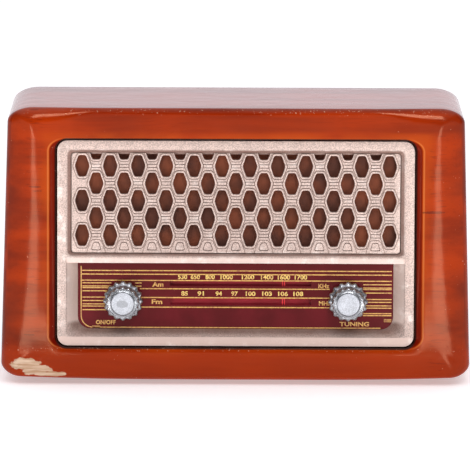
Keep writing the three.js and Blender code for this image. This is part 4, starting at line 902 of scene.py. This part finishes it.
def hexagon(grow):
    """The hole's outline about its own middle."""
    half, tall = HOLE["half"] + grow, HOLE["tall"] + grow
    shoulder, flat = HOLE["shoulder"], HOLE["flat"] + 0.45 * grow
    return softened([(half, -shoulder), (half, shoulder), (flat, tall), (-flat, tall),
                     (-half, shoulder), (-half, -shoulder), (-flat, -tall), (flat, -tall)])


def half_hexagon(grow):
    """The upper part of a hole whose row falls on the plate's foot, closed along its base."""
    base, flat = 3.2 * MM + grow, 1.7 * MM + 0.6 * grow
    foot, head = 1.4 * MM - grow, HOLE["tall"] + grow
    return softened([(base, foot), (flat, head), (-flat, head), (-base, foot)])


def hexagon_solid(name, levels, closed=False, section=hexagon):
    """Sections skinned into a block, or into a ring: each level is (grow, depth) in millimetres."""
    rings = [[(x, depth * MM, z) for x, z in section(grow * MM)] for grow, depth in levels]
    return gather(name, [skin(rings, closed)], GRILLE_PAINT)


def groove_block():
    """Two shallow slots beside a hole, one above the other, that reach the next hole in the row."""
    half = (HOLE_PITCH - 2 * HOLE["half"]) / 2 - 1.3 * MM
    up, shallow, deep = 0.21 * MM, -0.3 * MM, 1.3 * MM
    section = [(-up, shallow), (up, shallow), (up, deep), (-up, deep)]
    slots = []
    for z in (-MM, MM):
        slots.append(skin([[(HOLE_PITCH / 2 + side * half, depth, z + rise) for rise, depth in section]
                           for side in (-1, 1)], False))
    return gather("rim_groove", slots, GRILLE_PAINT)


def grille_plate():
    """The plate before it is perforated, with a rounded front edge."""
    corner = 2 * MM
    half_wide, half_tall = GRILLE_HIGH.x - corner, GRILLE_HIGH.z - GRILLE_MIDDLE.z - corner
    front = GRILLE_FRONT + FACE_SINK
    levels = [(0.0, GRILLE_HIGH.y), (0.0, front + 0.6 * MM), (0.18 * MM, front + 0.18 * MM),
              (0.6 * MM, front)]
    rings = []
    for inset, y in levels:
        ring = []
        for sx, sz, start in ((1, -1, -90), (1, 1, 0), (-1, 1, 90), (-1, -1, 180)):
            for i in range(9):
                turn = math.radians(start + 90 * i / 8)
                ring.append((sx * half_wide + (corner - inset) * math.cos(turn), y,
                             GRILLE_MIDDLE.z + sz * half_tall + (corner - inset) * math.sin(turn)))
        rings.append(ring)
    return gather("grille_plate", [skin(rings, False)], GRILLE_PAINT)


def grille():
    outline = [(1.18, -1), (1.18, 0.9), (1.62, 0.9), (1.62, -1)]
    blind = [(-0.45, -1), (-0.45, 1.3), (0.0, 1.3), (0.0, -1)]
    rim = [(1.18, 0.9), (1.18, 0.25), (1.05, 0.06), (0.8, 0.0), (0.4, 0.0), (0.15, 0.1), (0.0, 0.35),
           (0.0, 2.4), (0.5, 2.4)]
    tools = {
        "Hole": hexagon_solid("hole_cutter", [(0.35, -1), (0.35, 0.5), (0.1, 0.9), (0.1, 6)]),
        "Outline": hexagon_solid("outline_cutter", outline, True),
        "Blind": hexagon_solid("blind_cutter", blind, True, half_hexagon),
        "Groove": groove_block(),
        "Rim": hexagon_solid("hole_rim", rim, True),
    }
    centre_z = TOP_ROW - (GRILLE_ROWS - 1) / 2 * ROW_PITCH
    piece = staggered_tree().grow(
        grille_plate(), "grille", Columns=GRILLE_COLUMNS, Rows=GRILLE_ROWS, Pitch=HOLE_PITCH,
        Row_Pitch=ROW_PITCH, Centre=(0.0, GRILLE_FRONT, centre_z), Material=GRILLE_PAINT, **tools)
    for tool in tools.values():
        bpy.data.objects.remove(tool)
    smooth(piece, 35)
    return settle(piece, "cabinet", "champagne", "speaker_grille")


def cloth_panel():
    """The grille's backing cloth, stretched flat with a slight pull towards its edges."""
    lower, upper = low("speaker_cloth"), high("speaker_cloth")
    columns, rows = 96, 32
    inset, thick, pull = 0.14 * MM, 0.27 * MM, 0.12 * MM
    points, faces, places = [], [], []
    for layer in (0, 1):
        for j in range(rows + 1):
            for i in range(columns + 1):
                u, v = i / columns, j / rows
                slack = pull * math.sin(9 * u) * math.sin(5 * v)
                slack *= math.sin(math.pi * u) * math.sin(math.pi * v)
                y = lower.y + inset + layer * thick + slack
                points.append((mix(lower.x, upper.x, u), y, mix(lower.z, upper.z, v)))
                places.append((u * (upper.x - lower.x), v * (upper.z - lower.z)))
    wide = columns + 1
    back = wide * (rows + 1)
    for j in range(rows):
        for i in range(columns):
            a = j * wide + i
            faces.append((a, a + 1, a + wide + 1, a + wide))
            faces.append((back + a, back + a + wide, back + a + wide + 1, back + a + 1))
    edge = [i for i in range(wide)] + [j * wide + columns for j in range(1, rows + 1)]
    edge += [rows * wide + i for i in range(columns - 1, -1, -1)] + [j * wide for j in range(rows - 1, 0, -1)]
    for a, b in zip(edge, edge[1:] + edge[:1]):
        faces.append((b, a, back + a, back + b))
    piece = mesh_piece("grille_cloth", points, faces, CLOTH)
    weave = piece.data.uv_layers.new(name="weave")
    for loop in piece.data.loops:
        weave.data[loop.index].uv = places[loop.vertex_index]
    smooth(piece, 60)
    settle(piece, "cabinet", "speaker_cloth", "speaker_cloth")
    return piece


# ---------------------------------------------------------------- dial print
PRINT_LIFT = 0.06 * MM
PRINT_BACK = DIAL_FRONT - 0.001 * MM
DIAL_FOOT = 33.4 * MM
DIAL_CORNER = 7 * MM


def flat_strip(line, width):
    """A flat band of the given width along points (x, z), as a closed slab on the dial's face."""
    points, faces = [], []
    for k, (x, z) in enumerate(line):
        before, after = line[max(k - 1, 0)], line[min(k + 1, len(line) - 1)]
        run = Vector((after[0] - before[0], after[1] - before[1])).normalized()
        off = Vector((-run.y, run.x)) * width / 2
        for side in (1, -1):
            for y in (DIAL_FRONT - PRINT_LIFT, PRINT_BACK):
                points.append((x + side * off.x, y, z + side * off.y))
    for k in range(len(line) - 1):
        a, b = 4 * k, 4 * k + 4
        faces += [(a, b, b + 2, a + 2), (a + 1, a + 3, b + 3, b + 1)]
        faces += [(a, a + 1, b + 1, b), (a + 2, b + 2, b + 3, a + 3)]
    end = 4 * (len(line) - 1)
    faces += [(0, 2, 3, 1), (end, end + 1, end + 3, end + 2)]
    return points, faces


# Level lines on the dial: their heights, where they start and end, and their width, all in millimetres.
LEVEL_LINES = (
    ((67.6, 65.4, 61.7), -91.6, 93.0, 0.62),
    ((56.7, 51.4, 45.6), -57, 56, 0.62),
    ((60.1, 58.2, 57.2, 55.3, 51.5, 49.4, 47.4, 46.1, 43.9), -91.2, -74, 0.6),
    ((60.1, 58.2, 47.4), -60, -56, 0.6),
    ((59.6, 57.6, 56.7, 54.6, 50.7, 49.0, 46.9, 45.5, 42.2, 41.0), 76, 93.0, 0.6),
    ((33.3, 34.1), -85.4, -80.8, 0.35),
    ((37.3, 38.0, 38.7), 88.5, 93, 0.3),
)
BORDER_LEFT = -92.0 * MM
BORDER_TOP = 70.2 * MM
BORDER_END = 86.5 * MM
BORDER_STEPS = 10


def dial_lines():
    parts = [flat_strip([(x0 * MM, z * MM), (x1 * MM, z * MM)], width * MM)
             for heights, x0, x1, width in LEVEL_LINES for z in heights]
    border = [(BORDER_LEFT, BORDER_TOP), (BORDER_LEFT, DIAL_FOOT + DIAL_CORNER)]
    for step in range(1, BORDER_STEPS + 1):
        turn = math.pi + math.pi / 2 * step / BORDER_STEPS
        border.append((BORDER_LEFT + DIAL_CORNER * (1 + math.cos(turn)),
                       DIAL_FOOT + DIAL_CORNER * (1 + math.sin(turn))))
    border.append((BORDER_END, DIAL_FOOT))
    parts.append(flat_strip(border, 0.55 * MM))
    return settle(gather("dial_lines", parts, GOLD), "cabinet", "dial_print")


def written(name, text, x, z, height, width):
    """One word as points and faces, raised on the dial about its middle (x, z), in millimetres."""
    curve = bpy.data.curves.new(name, "FONT")
    settings = {"body": text, "size": 1.0, "align_x": "CENTER", "align_y": "CENTER", "offset": 0.03,
                "extrude": 0.01, "resolution_u": 3}
    for label, value in settings.items():
        setattr(curve, label, value)
    writing = bake(link(name, curve), name)
    spots = [v.co.copy() for v in writing.data.vertices]
    faces = [tuple(p.vertices) for p in writing.data.polygons]
    bpy.data.objects.remove(writing)
    spans = [(min(s[k] for s in spots), max(s[k] for s in spots)) for k in (0, 1)]
    (left, right), (bottom, top) = spans
    points = []
    for spot in spots:
        along = (spot.x - (right + left) / 2) * width / (right - left) + x
        up = (spot.y - (top + bottom) / 2) * height / (top - bottom) + z
        points.append((along * MM, DIAL_FRONT - PRINT_LIFT if spot.z > 0 else PRINT_BACK, up * MM))
    return points, faces


def lettering(name, words, material):
    """Raised print: each word is (text, middle x, middle z, height, width) in millimetres."""
    return settle(gather(name, [written(name, *word) for word in words], material), "cabinet", "dial_print")


AM_FIGURES = {530: -31.6, 650: -24.0, 800: -15.2, 1000: -5.3, 1200: 7.4, 1400: 18.8, 1600: 28.8, 1700: 38.9}
FM_FIGURES = {85: -30.4, 91: -20.8, 94: -10.0, 97: -0.6, 100: 9.0, 103: 18.8, 106: 28.3, 108: 37.4}
WORDS = (
    ("Am", -46.3, 59.3, 2.8, 6.6), ("Fm", -46.8, 48.9, 2.8, 6.3), ("KHz", 52.6, 58.7, 2.6, 6.5),
    ("MHz", 53.2, 48.3, 2.6, 7.0), ("ON/OFF", -77.3, 36.4, 2.6, 11.8), ("TUNING", 70.9, 35.8, 2.7, 17.6),
)


def dial_figures():
    figures = []
    for row, z, height, wide in ((AM_FIGURES, 63.9, 2.9, 1.85), (FM_FIGURES, 53.9, 2.7, 1.95)):
        figures += [(str(number), x, z, height, wide * len(str(number))) for number, x in row.items()]
    lettering("dial_figures", figures, YELLOW)
    lettering("dial_words", WORDS, GOLD)


# ---------------------------------------------------------------- knobs
TEETH = 16


# The knob's outline from its seat outwards and back: radius, depth and height of teeth, in millimetres.
KNOB_OUTLINE = (
    (6.9, 1.35, 0), (6.95, 0.2, 0), (7.05, 0.05, 0), (7.6, 0.35, 0), (8.3, 0.5, 0), (8.7, 0.25, 0.05),
    (9.0, 0.3, 0.2), (9.35, 0.7, 0.45), (9.5, 1.3, 0.55), (9.5, 4.6, 0.55), (9.35, 5.2, 0.45),
    (9.0, 5.7, 0.15), (8.9, 6.4, 0), (9.1, 8.2, 0), (9.4, 8.9, 0), (9.7, 9.2, 0.1), (10.4, 9.5, 0.35),
    (11.0, 9.9, 0.5), (11.35, 10.5, 0.6), (11.4, 13.2, 0.6), (11.2, 13.8, 0.55), (10.7, 14.2, 0.4),
)
KNOB_BORE = 3.3 * MM
KNOB_DISH = 1.4 * MM
BORE_END = 2.9 * MM
STEPS_PER_TOOTH = 14
INLAY_STEPS = 96


def toothed_knob(name, control):
    """A die-cast knob: toothed skirt, waist, toothed front ring, and a dished seat for its inlay."""
    front, back = low(f"{control}_knob").y, high(f"{control}_knob").y
    profile = [(0, front + KNOB_DISH)] + [(r * MM, front + d * MM) for r, d, _ in KNOB_OUTLINE]
    profile += [(10.5 * MM, back), (KNOB_BORE + 0.05 * MM, back), (KNOB_BORE, back - 0.3 * MM),
                (KNOB_BORE, front + BORE_END), (0, front + BORE_END)]
    teeth = [0] + [t * MM for _, _, t in KNOB_OUTLINE] + [0.3 * MM, 0, 0, 0, 0]

    def radius_at(step, turn):
        wave = math.cos(TEETH * turn)
        return max(profile[step][0] + teeth[step] * 0.8 * math.copysign(abs(wave) ** 0.8, wave), 1e-6)

    piece = turned(name, profile, KNOBS[control], SILVER, TEETH * STEPS_PER_TOOTH, radius_at)
    return settle(piece, control, "die_cast_silver", f"{control}_knob")


def knob_inlay(name, control):
    """A thin bright disc with a rolled edge."""
    lower, upper = low(f"{control}_knob_cap"), high(f"{control}_knob_cap")
    front, back, r = lower.y, upper.y, upper.x - KNOBS[control].x
    profile = [(1e-6, front + 0.12 * MM), (r * 0.4, front + 0.1 * MM), (r - 1.1 * MM, front + 0.03 * MM),
               (r - 0.5 * MM, front), (r - 0.15 * MM, front + 0.15 * MM), (r, front + 0.45 * MM),
               (r, back), (1e-6, back)]
    piece = turned(name, profile, KNOBS[control], INLAY, INLAY_STEPS)
    return settle(piece, control, "bright_silver", f"{control}_knob_cap")


# ---------------------------------------------------------------- fasteners
SCREW_HEAD = 1.6 * MM
SCREW_SHANK = 1.5 * MM
THREAD_PITCH = 0.9 * MM
SCREW_SIDES = 24
CROSS_SHARE = 0.22
CROSS_DEPTH = 0.7 * MM
# The head's dome from its middle to its rim: share of its radius, and height in millimetres.
DOME = ((0.0, 1.55), (0.35, 1.52), (0.65, 1.36), (0.88, 1.0), (0.98, 0.5), (1.0, 0.06), (0.97, 0.0))


def cross_screw(radius, length, direction):
    """A dome-headed screw with a cross recess; it points along a unit direction from under its head."""
    levels = [(r * radius, h * MM) for r, h in DOME] + [(SCREW_SHANK, 0.0)]
    threads = 2 * int(length / THREAD_PITCH)
    levels += [(SCREW_SHANK * (1.0 if k % 2 else 0.8), -length * (k + 1) / (threads + 2))
               for k in range(threads)]
    levels += [(SCREW_SHANK * 0.75, -length * 0.94), (0.0, -length)]
    turns = [2 * math.pi * i / SCREW_SIDES for i in range(SCREW_SIDES)]
    rings = [[Vector((max(r, 1e-6) * math.cos(turn), max(r, 1e-6) * math.sin(turn), h)) for turn in turns]
             for r, h in levels]
    for p in (p for ring in rings[:3] for p in ring):
        if min(abs(p.x), abs(p.y)) < CROSS_SHARE * radius:
            p.z -= CROSS_DEPTH
    turn = direction.to_track_quat("Z", "Y")
    return gather("screw_pattern", [skin([[turn @ p for p in ring] for ring in rings], False)], ZINC)


def screws(kind, radius, direction):
    """One mesh of four screws, one at each of the nodes' heads."""
    nodes = [f"{kind}_screw_{n}" for n in range(1, 5)]
    spans = [(low(n), high(n)) for n in nodes]
    axis = max(range(3), key=lambda k: abs(direction[k]))
    length = spans[0][1][axis] - spans[0][0][axis] - SCREW_HEAD
    seats = []
    for lower, upper in spans:
        seat = (lower + upper) / 2
        seat[axis] = upper[axis] - SCREW_HEAD if direction[axis] > 0 else lower[axis] + SCREW_HEAD
        seats.append(seat)
    spots = mesh_piece(f"{kind}_screws", seats, [], ZINC)
    pattern = cross_screw(radius, length, direction)
    piece = scatter_tree().grow(spots, f"{kind}_screws", Pattern=pattern, Material=ZINC)
    bpy.data.objects.remove(pattern)
    smooth(piece, 40)
    return settle(piece, "cabinet", "steel", *nodes)


# ---------------------------------------------------------------- everything else
def dress(material, *nodes):
    """CAD nodes that keep their own shape."""
    for node in nodes:
        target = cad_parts[node]
        if target.material_slots:
            for place in target.material_slots:
                place.link = "DATA"
                place.material = material
        else:
            target.data.materials.append(material)


def rounded(node, name, material, width, slot="steel", body="cabinet", segments=2):
    return settle(rounded_copy(node, name, material, width * MM, segments), body, slot, node)


def dress_inside():
    dress(RAW, "batten_left", "batten_right", "speaker_baffle")
    dress(DIAL, "dial_scale")
    dress(LIT_BACKING, "dial_backing")
    dress(ZINC, "speaker_basket", "volume_control")
    dress(PULP, "speaker_cone")
    dress(FERRITE, "speaker_magnet", "ferrite_rod")
    dress(BRASS, "tuning_spindle", "tuning_bushing", "volume_shaft")
    dress(CREAM, "idler_pulley_left", "idler_pulley_right", "dial_drum", "dial_lamp_left", "dial_lamp_right",
          "ferrite_holder")
    dress(WAXED, "dial_cord")
    dress(RED, "pointer_carriage")
    dress(ALUMINIUM, "capacitor_frame", "capacitor_rotor")
    dress(COPPER, "ferrite_coil")
    dress(BLACK, "speaker_lead", "mains_lead", "filter_capacitor")
    rounded("chassis", "chassis_tray", ZINC, 0.25)
    rounded("circuit_board", "printed_board", PHENOLIC, 0.2, "board")
    rounded("if_transformer_1", "first_can", ALUMINIUM, 0.6, "aluminium")
    rounded("if_transformer_2", "second_can", ALUMINIUM, 0.6, "aluminium")
    rounded("mains_transformer", "transformer", ZINC, 0.5)


def dress_outside():
    cabinet()
    rounded("front_bezel", "front_panel", CHAMPAGNE, 0.45, "champagne", segments=3)
    grille()
    cloth_panel()
    dial_lines()
    dial_figures()
    for control in KNOBS:
        toothed_knob(f"{control}_dial_knob", control)
        knob_inlay(f"{control}_inlay", control)
    rounded("rear_cover", "rear_board", HARDBOARD, 0.35, "hardboard")
    rounded("power_inlet", "mains_inlet", BLACK, 0.5, "black_plastic")
    rounded("band_switch", "band_switch_case", BLACK, 0.3, "black_plastic")
    rounded("band_slider", "band_switch_knob", CREAM, 0.4, "cream_plastic", "band_slide_knob")
    for n in range(1, 5):
        rounded(f"foot_{n}", f"rubber_foot_{n}", RUBBER, 0.6, "rubber", segments=3)
    screws("cover", 2.9 * MM, Vector((0, 1, 0)))
    screws("speaker", 2.6 * MM, Vector((0, 1, 0)))
    screws("chassis", 2.9 * MM, Vector((0, 0, -1)))


# ---------------------------------------------------------------- studio
FLOOR_REACH = 14
SENSOR = 36
EYE_DISTANCE = 3.6
EYE_RISE = math.radians(8.1)
EYE_ROLL = math.radians(0.235)
EYE_AIM = (-0.46 * MM, FRONT, 90.65 * MM)
VIEW_WIDTH = 278.945 * MM
LIGHTS_AIM = (0, 0, 0.08)
STRIP_TURN = math.radians(13)
STRIP_REACH = 0.66
STRIP_OUT = 0.119


def studio_floor():
    t = Paint("studio_floor", Roughness=0.8, Specular_IOR_Level=0.2, Emission_Strength=0.4,
              Emission_Color=(1, 1, 1))
    t.feed(t.inputs["Base Color"], t.mix(t.noise(2.0, 2.0), (0.86, 0.86, 0.86), (0.90, 0.90, 0.90)))
    corners = [(-FLOOR_REACH, -FLOOR_REACH, 0), (FLOOR_REACH, -FLOOR_REACH, 0), (FLOOR_REACH, FLOOR_REACH, 0),
               (-FLOOR_REACH, FLOOR_REACH, 0)]
    mesh_piece("studio_floor", corners, [(0, 1, 2, 3)], t.material)


def studio_sky():
    """A pale room, bright behind the radio and overhead, and dim in front of it."""
    world = bpy.data.worlds.new("studio_sky")
    world.use_nodes = True
    t = Tree(world.node_tree)
    toward = t.axes(t.add("ShaderNodeTexCoord").outputs["Generated"])
    bright = t.most(t.between(toward["Y"], -0.1, 0.5), t.between(toward["Z"], 0.35, 0.95))
    inputs = world.node_tree.nodes["Background"].inputs
    t.feed(inputs["Color"], t.mix(bright, (0.07, 0.07, 0.08), (0.97, 0.93, 0.98)))
    inputs["Strength"].default_value = 1.0
    bpy.context.scene.world = world


def softbox(name, place, aim, width, height, power, spin=0.0):
    """A rectangular light that the camera does not see, turned about its beam by spin."""
    light = bpy.data.lights.new(name, "AREA")
    light.shape = "RECTANGLE"
    light.size = width
    light.size_y = height
    light.energy = power
    lamp = link(name, light)
    lamp.location = place
    lamp.visible_camera = False
    facing = (Vector(aim) - Vector(place)).to_track_quat("-Z", "Y").to_matrix()
    lamp.rotation_euler = (Matrix.Rotation(spin, 3, "Z") @ facing).to_euler()


def camera():
    """A long lens a little above the radio, straight on."""
    data = bpy.data.cameras.new("camera")
    data.sensor_width = SENSOR
    data.lens = SENSOR * EYE_DISTANCE / VIEW_WIDTH
    eye = link("camera", data)
    eye.location = Vector(EYE_AIM) + Vector((0, -math.cos(EYE_RISE), math.sin(EYE_RISE))) * EYE_DISTANCE
    tilt = Matrix.Rotation(math.pi / 2 - EYE_RISE, 3, "X") @ Matrix.Rotation(EYE_ROLL, 3, "Z")
    eye.rotation_euler = tilt.to_euler()
    bpy.context.scene.camera = eye


camera()
studio_floor()
studio_sky()
softbox("left_softbox", (-0.27, -1.20, 0.95), LIGHTS_AIM, 0.11, 0.5, 2.4)
softbox("right_softbox", (0.30, -1.20, 0.95), LIGHTS_AIM, 0.26, 0.5, 5.2)
for side in (-1, 1):
    turn = STRIP_TURN * side
    x, y = side * STRIP_OUT + STRIP_REACH * math.sin(turn), FRONT - STRIP_REACH * math.cos(turn)
    softbox("floor_strip", (x, y, 0.003), (x, y, 1.0), 0.11, 1.05, 2.6, turn)
bpy.context.scene.view_settings.view_transform = "Standard"
dress_inside()
dress_outside()
